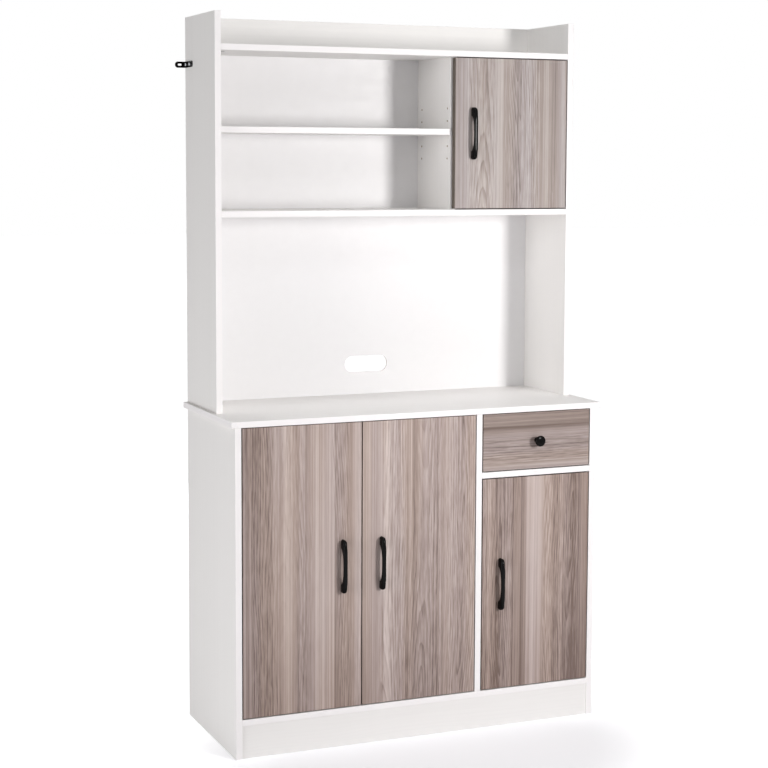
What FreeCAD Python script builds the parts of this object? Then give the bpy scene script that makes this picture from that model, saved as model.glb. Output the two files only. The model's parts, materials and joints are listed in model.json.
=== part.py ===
"""Kitchen hutch: a low cabinet with three doors and a drawer, a worktop and a shallower hutch on it.

Every board, fitting and fastener is an object of one parametric document. The driving sizes are in the
sheet named Sizes, and every length and place below is an expression of them. Millimetres, +Z up, the front
faces -Y, and the origin is on the floor, in the middle of the width and of the depth with the handles.
"""
import FreeCAD, Part
import math
import os
import re
import Sketcher
from FreeCAD import Placement, Rotation, Vector

os.makedirs("parts", exist_ok=True)
doc = FreeCAD.newDocument("kitchen_hutch")

# Driving sizes: alias, value, note
SIZES = {
    # Overall
    "body_width": (978, "width of the cabinet and of the hutch over their sides"),
    "body_depth": (388, "depth of the cabinet from its front edges to the rear"),
    "base_height": (825, "floor to the top of the worktop"),
    "total_height": (1800, "floor to the top of the hutch sides"),
    "side_overhang": (11, "worktop past the cabinet's sides"),
    "front_overhang": (8, "worktop past the cabinet's front edges"),
    # Boards
    "worktop_thick": (15, "worktop thickness"),
    "upright_thick": (16, "sides, dividers and gallery board"),
    "shelf_thick": (15, "lying boards"),
    "front_thick": (18, "doors and drawer front"),
    "back_thick": (3, "thin back panels"),
    "back_inset": (13, "rear plane to the rear face of the thin backs"),
    "groove_depth": (6, "grooves for thin panels"),
    "panel_play": (0.2, "clearance of thin panels and inserts in their grooves and holes"),
    "worktop_rounding": (1, "rounded front edges of the worktop"),
    # Base cabinet
    "kick_height": (82, "floor to the bottom panel"),
    "kick_recess": (3, "kick board behind the front edges"),
    "kick_thick": (15, "kick board and plinth rail"),
    "plinth_rail_inset": (60, "rear plinth rail ahead of the back"),
    "base_left_bay": (621.5, "clear width of the bay with two doors"),
    "drawer_opening": (150, "clear height over the drawer rail"),
    "front_gap": (2.5, "gap round the inset doors and the drawer front"),
    "base_shelf_setback": (45, "shelves in the base behind its front edges"),
    "shelf_end_play": (1, "gap at each end of an adjustable shelf"),
    "shelf_rear_play": (2, "gap behind an adjustable shelf"),
    "shelf_drop": (3.6, "underside of an adjustable shelf below the middle of its pins"),
    # Hutch
    "hutch_setback": (143.5, "hutch front behind the cabinet front"),
    "upper_clear": (388, "clear height over the fixed shelf"),
    "gallery_rise": (78, "sides above the top shelf"),
    "hutch_left_bay": (620.5, "clear width of the open bay"),
    "divider_gap": (4, "hutch divider behind the back face of its door"),
    "divider_show": (2.5, "hutch divider not covered by its door"),
    "open_shelf_setback": (18, "adjustable shelf of the open bay behind the hutch front"),
    "cupboard_shelf_setback": (32, "cupboard shelf behind the hutch front"),
    "cable_hole_length": (120, "oblong cable hole, overall"),
    "cable_hole_height": (42, "oblong cable hole"),
    "cable_hole_rise": (80, "worktop to the middle of the cable hole"),
    # Shelf pins
    "pin_radius": (2.5, "shelf pin"),
    "pin_buried": (7.2, "shelf pin inside the upright"),
    "pin_proud": (8, "shelf pin out of the upright"),
    "pin_pitch": (32, "height step of the pin holes"),
    "pin_fit": (0.05, "radial clearance of a pin or dowel in its hole"),
    "base_pin_front": (75, "front pin column behind the cabinet front"),
    "base_pin_rear": (50, "rear pin column ahead of the back"),
    "hutch_pin_front": (42.5, "front pin column behind the hutch front"),
    "hutch_pin_rear": (26.5, "rear pin column ahead of the back"),
    # Dowels and cam fittings
    "dowel_radius": (4, "wood dowel"),
    "dowel_in_face": (11, "dowel inside the face of a board"),
    "dowel_in_end": (19, "dowel inside the end of a board"),
    "dowel_in_thin": (8.5, "upright dowel inside a lying board"),
    "joint_inset": (35, "first dowel behind the front edge of its board"),
    "rear_joint_inset": (70, "last dowel ahead of the back"),
    "joint_spread": (32, "dowel to the cam bolt beside it"),
    "base_top_joint": (110, "dowels of the base uprights from the front and rear"),
    "hutch_foot_joint": (38, "dowels of the hutch uprights from the front and rear"),
    "cam_bolt_radius": (3, "cam bolt"),
    "cam_bolt_buried": (10.5, "cam bolt inside the upright"),
    "cam_reach": (24, "end of the board to the middle of the cam disc"),
    "cam_radius": (7.5, "cam disc"),
    "cam_height": (12.5, "cam disc"),
    # Screws
    "screw_radius": (1.75, "screws into board"),
    "screw_length": (12, "screws into board, under the head"),
    "screw_head_radius": (3.5, "pan head"),
    "screw_head_height": (2, "pan head"),
    # Hinges
    "hinge_end_distance": (80, "hinge to the end of its door"),
    "axis_from_wall": (20.5, "hinge axis from the upright that carries it"),
    "axis_depth": (8.5, "hinge axis behind the front face of the door"),
    "hinge_pin_radius": (1.25, "hinge pin"),
    "hinge_fit": (0.05, "radial clearance of the hinge pin"),
    "cup_radius": (17.5, "hinge cup"),
    "cup_depth": (13, "hinge cup"),
    "cup_edge": (22.5, "middle of the cup from the edge of the door"),
    "cup_wall": (0.7, "sheet of the cup"),
    "cup_rim_radius": (19, "rim of the cup on the door"),
    "cup_rim_thick": (1.2, "rim and ears of the cup"),
    "ear_width": (16, "ears of the cup"),
    "ear_reach": (24, "middle of the cup to its fixing pegs"),
    "peg_radius": (4, "fixing pegs of the cup"),
    "peg_length": (10, "fixing pegs of the cup"),
    "arm_thick": (1.6, "sheet of the hinge arm"),
    "arm_width": (12, "hinge arm"),
    "arm_barrel_radius": (2.2, "barrel of the arm round the pin"),
    "arm_swing_radius": (22.5, "bow of the arm round the axis"),
    "arm_angle": (145, "direction of the arm from the pin, closed door"),
    "arm_leg": (40, "leg of the arm along its plate"),
    "plate_thick": (3, "mounting plate of the hinge"),
    "plate_start": (24, "hinge axis to the front end of the plate"),
    "plate_length": (40, "mounting plate of the hinge"),
    "wing_height": (44, "wings of the plate, top to bottom"),
    "wing_width": (12, "wings of the plate"),
    "wing_thick": (2, "wings of the plate"),
    "wing_screw_pitch": (32, "two screws of the plate"),
    # Handles and knob
    "handle_reach": (22, "bow handle out of the door"),
    "handle_length": (133, "bow handle, end to end"),
    "handle_gap": (80, "clear length between the feet of the handle"),
    "handle_pitch": (96, "screws of the bow handle"),
    "handle_inset": (50, "handle to the free edge of its door"),
    "handle_width": (11, "bow handle across"),
    "bow_thick": (4.5, "bow at its thin middle"),
    "handle_end_radius": (14, "outer corners of the handle, seen from the side"),
    "handle_rounding": (1.5, "long edges of the handle"),
    "machine_screw_radius": (2, "screws of the handles and the knob"),
    "machine_head_radius": (4, "their heads"),
    "machine_head_height": (2, "their heads"),
    "machine_grip": (5, "screw inside the handle or the knob"),
    "machine_play": (0.25, "radial play of these screws in the front"),
    "knob_radius": (14, "knob head"),
    "knob_reach": (25, "knob out of the drawer front"),
    "knob_stem_radius": (6, "knob stem"),
    "knob_head_height": (10, "knob head with its dome"),
    "knob_dome": (4, "rise of the dome"),
    "knob_flat_radius": (9, "flat of the knob's face"),
    "bumper_radius": (4, "rubber bumper"),
    "bumper_gap": (0.3, "bumper to the closed door"),
    "bumper_end_distance": (30, "bumper to the end of the divider"),
    # Drawer
    "runner_space": (12.7, "drawer side to the cabinet"),
    "box_side_thick": (12, "drawer sides and back"),
    "box_length": (330, "drawer sides"),
    "box_height": (110, "drawer sides"),
    "box_rise": (14, "drawer sides above the drawer rail"),
    "box_bottom_rise": (8, "drawer bottom above the lower edge of the sides"),
    "runner_rise": (59, "middle of the runners above the drawer rail"),
    "runner_length": (320, "both runner members"),
    "runner_start": (22, "runners behind the cabinet front"),
    "runner_sheet": (1.2, "sheet of the runners"),
    "runner_height": (35, "cabinet member of the runner"),
    "runner_reach": (9.7, "cabinet member out of the cabinet"),
    "member_height": (22, "drawer member of the runner"),
    "member_lip": (8.3, "drawer member, lip from its web"),
    "cage_length": (76, "ball cage"),
    "cage_sheet": (0.8, "strips of the ball cage"),
    "cage_from_wall": (3.5, "ball cage to the cabinet"),
    "cage_width": (5.5, "strips of the ball cage"),
    "ball_radius": (2.4, "balls of the runner"),
    "ball_pitch": (15, "step between the balls of a strip"),
    "runner_screw_inset": (28, "runner screws from the ends of the runner"),
    "drawer_dowel_inset": (28, "drawer dowels from the lower and upper edges of the sides"),
    # Wall bracket
    "bracket_width": (15.5, "wall bracket, height of the strip"),
    "bracket_sheet": (2, "wall bracket, sheet"),
    "bracket_side_leg": (65, "leg on the hutch side"),
    "bracket_wall_leg": (27, "leg along the wall, from the hutch side"),
    "bracket_rounding": (7, "rounded corners at the ends of the strip"),
    "bracket_drop": (25, "underside of the top shelf to the middle of the bracket"),
    "bracket_first_screw": (9, "first screw from the rear"),
    "bracket_second_screw": (42, "second screw from the rear"),
    "slot_length": (10, "wall slot, overall"),
    "slot_width": (5, "wall slot"),
    "slot_distance": (15, "middle of the wall slot from the hutch side"),
}

# Places worked out from the driving sizes
PLACES = {
    # Depth
    "front": "(knob_reach - body_depth) / 2",
    "rear": "front + body_depth",
    "back_rear": "rear - back_inset",
    "back_front": "back_rear - back_thick",
    "hutch_front": "front + hutch_setback",
    "divider_front": "hutch_front + front_thick + divider_gap",
    # Width
    "left_outer": "0 - body_width / 2",
    "left_inner": "left_outer + upright_thick",
    "right_outer": "body_width / 2",
    "right_inner": "right_outer - upright_thick",
    "base_divider_left": "left_inner + base_left_bay",
    "base_divider_right": "base_divider_left + upright_thick",
    "hutch_divider_left": "left_inner + hutch_left_bay",
    "hutch_divider_right": "hutch_divider_left + upright_thick",
    "pair_middle": "(left_inner + base_divider_left) / 2",
    # Height
    "bottom_top": "kick_height + shelf_thick",
    "worktop_under": "base_height - worktop_thick",
    "rail_top": "worktop_under - drawer_opening",
    "rail_under": "rail_top - shelf_thick",
    "gallery_floor": "total_height - gallery_rise",
    "top_under": "gallery_floor - shelf_thick",
    "fixed_top": "top_under - upper_clear",
    "fixed_under": "fixed_top - shelf_thick",
    "niche_clear": "fixed_under - base_height",
    "hutch_shelf_middle": "(fixed_top + top_under) / 2",
    "base_left_middle": "(bottom_top + worktop_under) / 2",
    "base_right_middle": "(bottom_top + rail_under) / 2",
    # Hinge, seen from its axis: +X to the upright, +Y into the cabinet
    "door_back": "front_thick - axis_depth",
    "cup_middle": "axis_from_wall - front_gap - cup_edge",
    "cup_floor": "door_back - cup_depth",
    "arm_outer": "arm_swing_radius + arm_thick / 2",
    "arm_inner": "arm_swing_radius - arm_thick / 2",
    "plate_face": "axis_from_wall - plate_thick",
    "wing_middle": "plate_start + wing_width / 2",
    "arm_turn": "arm_angle * 1 deg",
    "pin_half": "sqrt((cup_radius - cup_wall / 2)^2 - cup_middle^2)",
    # Handle: height and radius of the arch under its bow
    "arch_rise": "handle_reach - bow_thick",
    "arch_radius": "(handle_gap^2 / 4 + arch_rise^2) / (2 * arch_rise)",
    # Drawer
    "box_left": "base_divider_right + runner_space",
    "box_right": "right_inner - runner_space",
    "box_front": "front + front_thick",
    "box_rear": "box_front + box_length",
    "box_under": "rail_top + box_rise",
    "box_top": "box_under + box_height",
    "box_floor_under": "box_under + box_bottom_rise",
    "box_floor_top": "box_floor_under + back_thick",
    "runner_front": "front + runner_start",
    "runner_level": "rail_top + runner_rise",
    "ball_level": "(runner_height / 2 - runner_sheet + member_height / 2) / 2",
    "cage_front": "runner_front + runner_length / 2 - cage_length / 2",
    # Wall bracket
    "bracket_level": "top_under - bracket_drop",
}


def bound(text):
    """The expression with each named size written as its cell and each place written out."""

    def swap(match):
        word = match.group(0)
        if word in SIZES:
            return "Sizes." + word
        return "(" + bound(PLACES[word]) + ")" if word in PLACES else word

    return re.sub(r"[a-z][a-z_]*", swap, str(text))


def value(text):
    """The number that an expression of the sizes gives."""
    return float(sheet.evalExpression(bound(text)))


def fill_sheet():
    """Writes the driving sizes into the sheet, one row each: name, value and note."""
    made = doc.addObject("Spreadsheet::Sheet", "Sizes")
    for row, (alias, (number, note)) in enumerate(SIZES.items(), start=1):
        made.set("A%d" % row, alias)
        made.set("B%d" % row, str(number))
        made.set("C%d" % row, note)
        made.setAlias("B%d" % row, alias)
    doc.recompute()
    return made


sheet = fill_sheet()

AXIS_TURNS = {
    "X": Rotation(Vector(0, 1, 0), 90),
    "Y": Rotation(Vector(1, 0, 0), -90),
    "Z": Rotation(),
}


def bind(item, path, text):
    """Binds one property of an object to an expression of the sizes."""
    item.setExpression(path, bound(text))


def locate(item, x="0", y="0", z="0", turn=None):
    """Places an object, turned first where a rotation is given."""
    if turn is not None:
        item.Placement = Placement(Vector(), turn)
    for letter, text in (("x", x), ("y", y), ("z", z)):
        bind(item, "Placement.Base." + letter, text)
    return item


def box(label, x, y, z):
    """A board or block between two places in each direction."""
    made = doc.addObject("Part::Box", label)
    for length, (low, high) in (("Length", x), ("Width", y), ("Height", z)):
        bind(made, length, "(%s) - (%s)" % (high, low))
    return locate(made, x[0], y[0], z[0])


def rod(label, axis, start, radius, length):
    """A round rod that runs from the start point along +X, +Y or +Z."""
    made = doc.addObject("Part::Cylinder", label)
    bind(made, "Radius", radius)
    bind(made, "Height", length)
    return locate(made, *start, turn=AXIS_TURNS[axis])


def back_rod(label, axis, start, radius, length):
    """A round rod that runs from the start point along -X, -Y or -Z."""
    shift = dict(zip("XYZ", start))
    shift[axis] = "(%s) - (%s)" % (shift[axis], length)
    return rod(label, axis, (shift["X"], shift["Y"], shift["Z"]), radius, length)


def joined(label, pieces):
    """Several shapes fused into one solid."""
    made = doc.addObject("Part::MultiFuse", label)
    made.Shapes = pieces
    return made


def cut(label, base, tools):
    """A shape with other shapes cut out of it."""
    made = doc.addObject("Part::Cut", label)
    made.Base = base
    made.Tool = tools[0] if len(tools) == 1 else joined(label + "_tools", tools)
    return made


def group(label, pieces):
    """Separate solids kept side by side in one node."""
    made = doc.addObject("Part::Compound", label)
    made.Links = pieces
    return made


def body(label):
    """An empty body of its own."""
    return doc.addObject("PartDesign::Body", label)


def sketch(owner, name, role):
    """A sketch on one of the body's own origin planes."""
    made = owner.newObject("Sketcher::SketchObject", name)
    plane = next(item for item in owner.Origin.OriginFeatures if item.Role == role)
    made.AttachmentSupport = [(plane, "")]
    made.MapMode = "FlatFace"
    return made


def fix_point(drawing, curve, point, u, v):
    """Ties a point of the sketch to two expressions."""
    for kind, text in (("DistanceX", u), ("DistanceY", v)):
        rule = Sketcher.Constraint(kind, -1, 1, curve, point, value(text))
        number = drawing.addConstraint(rule)
        bind(drawing, "Constraints[%d]" % number, text)


def draw_outline(drawing, corners):
    """A closed outline of straight lines through corners given as pairs of expressions."""
    places = [Vector(value(u), value(v), 0) for u, v in corners]
    following = places[1:] + places[:1]
    lines = [drawing.addGeometry(Part.LineSegment(a, b), False) for a, b in zip(places, following)]
    for line, after in zip(lines, lines[1:] + lines[:1]):
        drawing.addConstraint(Sketcher.Constraint("Coincident", line, 2, after, 1))
    for line, (u, v) in zip(lines, corners):
        fix_point(drawing, line, 1, u, v)


def draw_rectangle(drawing, u, v):
    """A rectangle between two places each way."""
    draw_outline(drawing, [(u[0], v[0]), (u[1], v[0]), (u[1], v[1]), (u[0], v[1])])


def draw_circle(drawing, u, v, radius):
    """A circle whose middle and radius are expressions."""
    circle = Part.Circle(Vector(value(u), value(v), 0), Vector(0, 0, 1), value(radius))
    curve = drawing.addGeometry(circle, False)
    fix_point(drawing, curve, 3, u, v)
    number = drawing.addConstraint(Sketcher.Constraint("Radius", curve, value(radius)))
    bind(drawing, "Constraints[%d]" % number, radius)


def draw_oblong(drawing, u, v, length, height):
    """A slot with round ends, lying along the sketch's first direction."""
    radius = "(%s) / 2" % height
    reach = "((%s) - (%s)) / 2" % (length, height)
    ends = []
    for sign, start in (("+", -90), ("-", 90)):
        middle = "(%s) %s %s" % (u, sign, reach)
        circle = Part.Circle(Vector(value(middle), value(v), 0), Vector(0, 0, 1), value(radius))
        arc = Part.ArcOfCircle(circle, math.radians(start), math.radians(start + 180))
        end = drawing.addGeometry(arc, False)
        fix_point(drawing, end, 3, middle, v)
        ends.append(end)
    for first, second in (ends, ends[::-1]):
        start = drawing.getPoint(first, 2)
        finish = drawing.getPoint(second, 1)
        side = drawing.addGeometry(Part.LineSegment(start, finish), False)
        drawing.addConstraint(Sketcher.Constraint("Tangent", first, 2, side, 1))
        drawing.addConstraint(Sketcher.Constraint("Tangent", side, 2, second, 1))
    number = drawing.addConstraint(Sketcher.Constraint("Radius", ends[0], value(radius)))
    bind(drawing, "Constraints[%d]" % number, radius)


def pad(owner, name, drawing, length, side="One side", reverse=False):
    """Thickens a sketch into the body."""
    made = owner.newObject("PartDesign::Pad", name)
    made.Profile = drawing
    made.SideType = side
    made.Reversed = reverse
    bind(made, "Length", length)
    doc.recompute()
    return made


def pocket(owner, name, drawing, length=None, reverse=False):
    """Cuts a sketch out of the body, through it all where no depth is given, and proves that it cut."""
    before = owner.Shape.Volume
    made = owner.newObject("PartDesign::Pocket", name)
    made.Profile = drawing
    made.Reversed = reverse
    if length is None:
        made.Type = "ThroughAll"
        made.Midplane = True
    else:
        bind(made, "Length", length)
    doc.recompute()
    if owner.Shape.Volume >= before:
        raise RuntimeError("%s cuts nothing" % name)
    return made


# Holes that each board gets from the fasteners that pass into it
bores = {}

dowels = []
cam_bolts = []
cam_discs = []
shelf_pins = []
screws = []


def add_bore(hole, *labels):
    """Has a hole cut out of each of the named pieces."""
    for label in labels:
        bores.setdefault(label, []).append(hole)


def bored(label, blank):
    """The finished piece: the blank with all its holes."""
    return cut(label, blank, bores[label])


def add_fastener(name, axis, start, radius, length, labels):
    """A straight fastener from the start point along +axis, and its hole in the named pieces."""
    shift = dict(zip("XYZ", start))
    shift[axis] = "(%s) - panel_play" % shift[axis]
    hole_start = (shift["X"], shift["Y"], shift["Z"])
    hole = rod(name + "_bore", axis, hole_start, "(%s) + pin_fit" % radius, "(%s) + 2 * panel_play" % length)
    add_bore(hole, *labels)
    return rod(name, axis, start, radius, length)


def add_dowel(axis, face, side, in_face, labels):
    """A wood dowel across the meeting face of two boards: the end-grain board lies on the given side."""
    name = "dowel_%02d" % (len(dowels) + 1)
    whole = "dowel_in_face + dowel_in_end"
    back = in_face if side == "+" else "%s - (%s)" % (whole, in_face)
    start = dict(zip("XYZ", face))
    start[axis] = "(%s) - (%s)" % (start[axis], back)
    place = (start["X"], start["Y"], start["Z"])
    dowels.append(add_fastener(name, axis, place, "dowel_radius", whole, labels))


def add_cam(face, side, y, under, upright, board):
    """A cam bolt from an upright into the end of a lying board, and the disc that pulls it in."""
    number = len(cam_bolts) + 1
    length = "cam_bolt_buried + cam_reach + cam_bolt_radius"
    back = "cam_bolt_buried" if side == "+" else "cam_reach + cam_bolt_radius"
    start = ("(%s) - (%s)" % (face, back), y, "%s + shelf_thick / 2" % under)
    bolt = add_fastener("cam_bolt_%02d" % number, "X", start, "cam_bolt_radius", length, (upright, board))
    cam_bolts.append(bolt)
    middle = ("%s %s cam_reach" % (face, side), y, under)
    blank = rod("cam_disc_blank_%02d" % number, "Z", middle, "cam_radius", "cam_height")
    cam_discs.append(cut("cam_disc_%02d" % number, blank, [doc.getObject(bolt.Name + "_bore")]))
    seat = rod("cam_seat_%02d" % number, "Z", middle, "cam_radius + pin_fit", "cam_height + panel_play")
    add_bore(seat, board)


def screw_at(name, head_face, shank, y, z):
    """A pan-head screw whose shank runs along +X or -X from the plane under its head."""
    ahead, behind = (rod, back_rod) if shank == "+" else (back_rod, rod)
    place = (head_face, y, z)
    pieces = [
        ahead(name + "_shank", "X", place, "screw_radius", "screw_length"),
        behind(name + "_head", "X", place, "screw_head_radius", "screw_head_height"),
    ]
    return joined(name, pieces)


def add_screw(head_face, shank, y, z, *labels):
    """A screw of the carcass, and its hole in the named boards."""
    name = "screw_%02d" % (len(screws) + 1)
    maker = rod if shank == "+" else back_rod
    place = (head_face, y, z)
    hole = maker(name + "_bore", "X", place, "screw_radius + pin_fit", "screw_length + panel_play")
    add_bore(hole, *labels)
    screws.append(screw_at(name, head_face, shank, y, z))


def add_pin_holes(upright, face, side, level, columns):
    """Two columns of holes for shelf pins in one face of an upright, in steps above and below a level."""
    maker = rod if side == "+" else back_rod
    for column, y in enumerate(columns):
        for step in range(-2, 3):
            name = "%s_%s_pin_hole_%d_%d" % (upright, "right" if side == "-" else "left", column, step + 2)
            place = (face, y, "%s + %d * pin_pitch" % (level, step))
            add_bore(maker(name, "X", place, "pin_radius + pin_fit", "pin_buried + panel_play"), upright)


def adjustable_shelf(label, x, front_plane, level, columns):
    """A loose shelf on four pins, with a notch over each pin, and the pins themselves."""
    under = "%s - shelf_drop" % level
    ends = ("%s + shelf_end_play" % x[0], "%s - shelf_end_play" % x[1])
    blank = box(label + "_blank", ends, (front_plane, "back_front - shelf_rear_play"),
                (under, "%s + shelf_thick" % under))
    notches = []
    for face, side in ((x[0], "+"), (x[1], "-")):
        for y in columns:
            start = "%s - pin_buried" % face if side == "+" else "%s - pin_proud" % face
            name = "shelf_pin_%02d" % (len(shelf_pins) + 1)
            shelf_pins.append(rod(name, "X", (start, y, level), "pin_radius", "pin_buried + pin_proud"))
            reach = "pin_proud + panel_play"
            span = (face, "%s + %s" % (face, reach)) if side == "+" else ("%s - (%s)" % (face, reach), face)
            depth = ("%s - pin_radius - panel_play" % y, "%s + pin_radius + panel_play" % y)
            notches.append(box(name + "_notch", span, depth, (under, "%s + pin_radius" % level)))
    return cut(label, blank, notches)


# Pin columns and the bays that have them: name, clear width, level, columns, uprights left and right
BASE_COLUMNS = ("front + base_pin_front", "back_front - base_pin_rear")
HUTCH_COLUMNS = ("hutch_front + hutch_pin_front", "back_front - hutch_pin_rear")
BASE_SHELF_FRONT = "front + base_shelf_setback"
SHELF_BAYS = {
    "base_shelf_left": (("left_inner", "base_divider_left"), BASE_SHELF_FRONT, "base_left_middle",
                        BASE_COLUMNS, ("base_side_left", "base_divider")),
    "base_shelf_right": (("base_divider_right", "right_inner"), BASE_SHELF_FRONT, "base_right_middle",
                         BASE_COLUMNS, ("base_divider", "base_side_right")),
    "hutch_adjustable_shelf": (("left_inner", "hutch_divider_left"), "hutch_front + open_shelf_setback",
                               "hutch_shelf_middle", HUTCH_COLUMNS, ("hutch_side_left", "hutch_divider")),
    "cupboard_shelf": (("hutch_divider_right", "right_inner"), "hutch_front + cupboard_shelf_setback",
                       "hutch_shelf_middle", HUTCH_COLUMNS, ("hutch_divider", "hutch_side_right")),
}

# Lying boards: name, underside, front plane, upright at the left end with its face, upright at the right end
LYING_BOARDS = {
    "base_bottom_panel": ("kick_height", "front", ("base_side_left", "left_inner"),
                          ("base_side_right", "right_inner")),
    "drawer_rail": ("rail_under", "front", ("base_divider", "base_divider_right"),
                    ("base_side_right", "right_inner")),
    "hutch_fixed_shelf": ("fixed_under", "hutch_front", ("hutch_side_left", "left_inner"),
                          ("hutch_side_right", "right_inner")),
    "hutch_top_shelf": ("top_under", "hutch_front", ("hutch_side_left", "left_inner"),
                        ("hutch_side_right", "right_inner")),
}

# Boards on edge between two sides: name, depth and level of the dowel at each end, base or hutch
EDGE_BOARDS = {
    "kick_board": ("front + kick_recess + kick_thick / 2", "kick_height / 2", "base"),
    "rear_plinth_rail": ("back_front - plinth_rail_inset + kick_thick / 2", "kick_height / 2", "base"),
    "gallery_board": ("rear - upright_thick / 2", "gallery_floor + gallery_rise / 2", "hutch"),
}

# Upright dowels: upright, middle in X, depths, meeting level, side of the upright, board that it meets
LEFT_MIDDLE = "left_outer + upright_thick / 2"
RIGHT_MIDDLE = "right_outer - upright_thick / 2"
BASE_DIVIDER_MIDDLE = "base_divider_left + upright_thick / 2"
HUTCH_DIVIDER_MIDDLE = "hutch_divider_left + upright_thick / 2"
BASE_DEPTHS = ("front + base_top_joint", "rear - base_top_joint")
HUTCH_DEPTHS = ("hutch_front + hutch_foot_joint", "rear - hutch_foot_joint")
DIVIDER_DEPTHS = ("divider_front + hutch_foot_joint", "back_front - hutch_foot_joint")
UPRIGHT_JOINTS = (
    ("base_side_left", LEFT_MIDDLE, BASE_DEPTHS, "worktop_under", "-", "worktop"),
    ("base_side_right", RIGHT_MIDDLE, BASE_DEPTHS, "worktop_under", "-", "worktop"),
    ("base_divider", BASE_DIVIDER_MIDDLE, BASE_DEPTHS, "worktop_under", "-", "worktop"),
    ("base_divider", BASE_DIVIDER_MIDDLE, BASE_DEPTHS, "bottom_top", "+", "base_bottom_panel"),
    ("hutch_side_left", LEFT_MIDDLE, HUTCH_DEPTHS, "base_height", "+", "worktop"),
    ("hutch_side_right", RIGHT_MIDDLE, HUTCH_DEPTHS, "base_height", "+", "worktop"),
    ("hutch_divider", HUTCH_DIVIDER_MIDDLE, DIVIDER_DEPTHS, "fixed_top", "+", "hutch_fixed_shelf"),
    ("hutch_divider", HUTCH_DIVIDER_MIDDLE, DIVIDER_DEPTHS, "top_under", "-", "hutch_top_shelf"),
)

# Doors: width, height, front plane, upright that carries the hinges with its face, +1 if that is at the right
PAIR_HEIGHT = ("bottom_top + front_gap", "worktop_under - front_gap")
RIGHT_FRONT_WIDTH = ("base_divider_right + front_gap", "right_inner - front_gap")
DOORS = {
    "left_door": (("left_inner + front_gap", "pair_middle - front_gap / 2"), PAIR_HEIGHT, "front",
                  ("base_side_left", "left_inner"), -1),
    "middle_door": (("pair_middle + front_gap / 2", "base_divider_left - front_gap"), PAIR_HEIGHT, "front",
                    ("base_divider", "base_divider_left"), 1),
    "right_door": (RIGHT_FRONT_WIDTH, ("bottom_top + front_gap", "rail_under - front_gap"), "front",
                   ("base_side_right", "right_inner"), 1),
    "hutch_door": (("hutch_divider_left + divider_show", "right_inner - front_gap"),
                   ("fixed_top + front_gap", "top_under - front_gap"), "hutch_front",
                   ("hutch_side_right", "right_inner"), 1),
}
BACK_WIDTH = ("left_inner - groove_depth + panel_play", "right_inner + groove_depth - panel_play")
HALF_TURN = Rotation(Vector(0, 1, 0), 180)
NO_TURN = Rotation()


def hinge_levels(height):
    """The levels of a door's two hinges."""
    return ("%s + hinge_end_distance" % height[0], "%s - hinge_end_distance" % height[1])


def join_carcass():
    """Every dowel, cam fitting and pin hole of the carcass."""
    for board, (under, front_plane, left, right) in LYING_BOARDS.items():
        stations = ("%s + joint_inset" % front_plane, "back_front - rear_joint_inset")
        for (upright, face), side in ((left, "+"), (right, "-")):
            for y in stations:
                level = "%s + shelf_thick / 2" % under
                add_dowel("X", (face, y, level), side, "dowel_in_face", (upright, board))
                add_cam(face, side, "%s + joint_spread" % y, under, upright, board)
    for board, (y, level, unit) in EDGE_BOARDS.items():
        for name, face, side in (("left", "left_inner", "+"), ("right", "right_inner", "-")):
            labels = ("%s_side_%s" % (unit, name), board)
            add_dowel("X", (face, y, level), side, "dowel_in_face", labels)
    for upright, x, depths, level, side, board in UPRIGHT_JOINTS:
        for y in depths:
            add_dowel("Z", (x, y, level), side, "dowel_in_thin", (upright, board))
    for bay, front_plane, level, columns, (left, right) in SHELF_BAYS.values():
        add_pin_holes(left, bay[0], "-", level, columns)
        add_pin_holes(right, bay[1], "+", level, columns)


def fix_fittings():
    """The screws of the hinge plates, the wall brackets and the cabinet members of the runners."""
    for width, height, front_plane, (upright, wall), hand in DOORS.values():
        inward, shank = ("-", "+") if hand == 1 else ("+", "-")
        for level in hinge_levels(height):
            for sign in "+-":
                z = "%s %s wing_screw_pitch / 2" % (level, sign)
                y = "%s + axis_depth + wing_middle" % front_plane
                add_screw("%s %s wing_thick" % (wall, inward), shank, y, z, upright)
    runner_walls = (("base_divider", "base_divider_right", "-"), ("base_side_right", "right_inner", "+"))
    for upright, face, shank in runner_walls:
        head_face = "%s %s runner_sheet" % (face, "+" if shank == "-" else "-")
        for y in runner_screw_depths():
            add_screw(head_face, shank, y, "runner_level", upright)
    bracket_walls = (("hutch_side_left", "left_outer", "+"), ("hutch_side_right", "right_outer", "-"))
    for upright, face, shank in bracket_walls:
        head_face = "%s %s bracket_sheet" % (face, "-" if shank == "+" else "+")
        for distance in ("bracket_first_screw", "bracket_second_screw"):
            add_screw(head_face, shank, "rear - %s" % distance, "bracket_level", upright)


def runner_screw_depths():
    """Where the screws of the runners stand, in depth."""
    return ("runner_front + runner_screw_inset", "runner_front + runner_length - runner_screw_inset")


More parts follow.
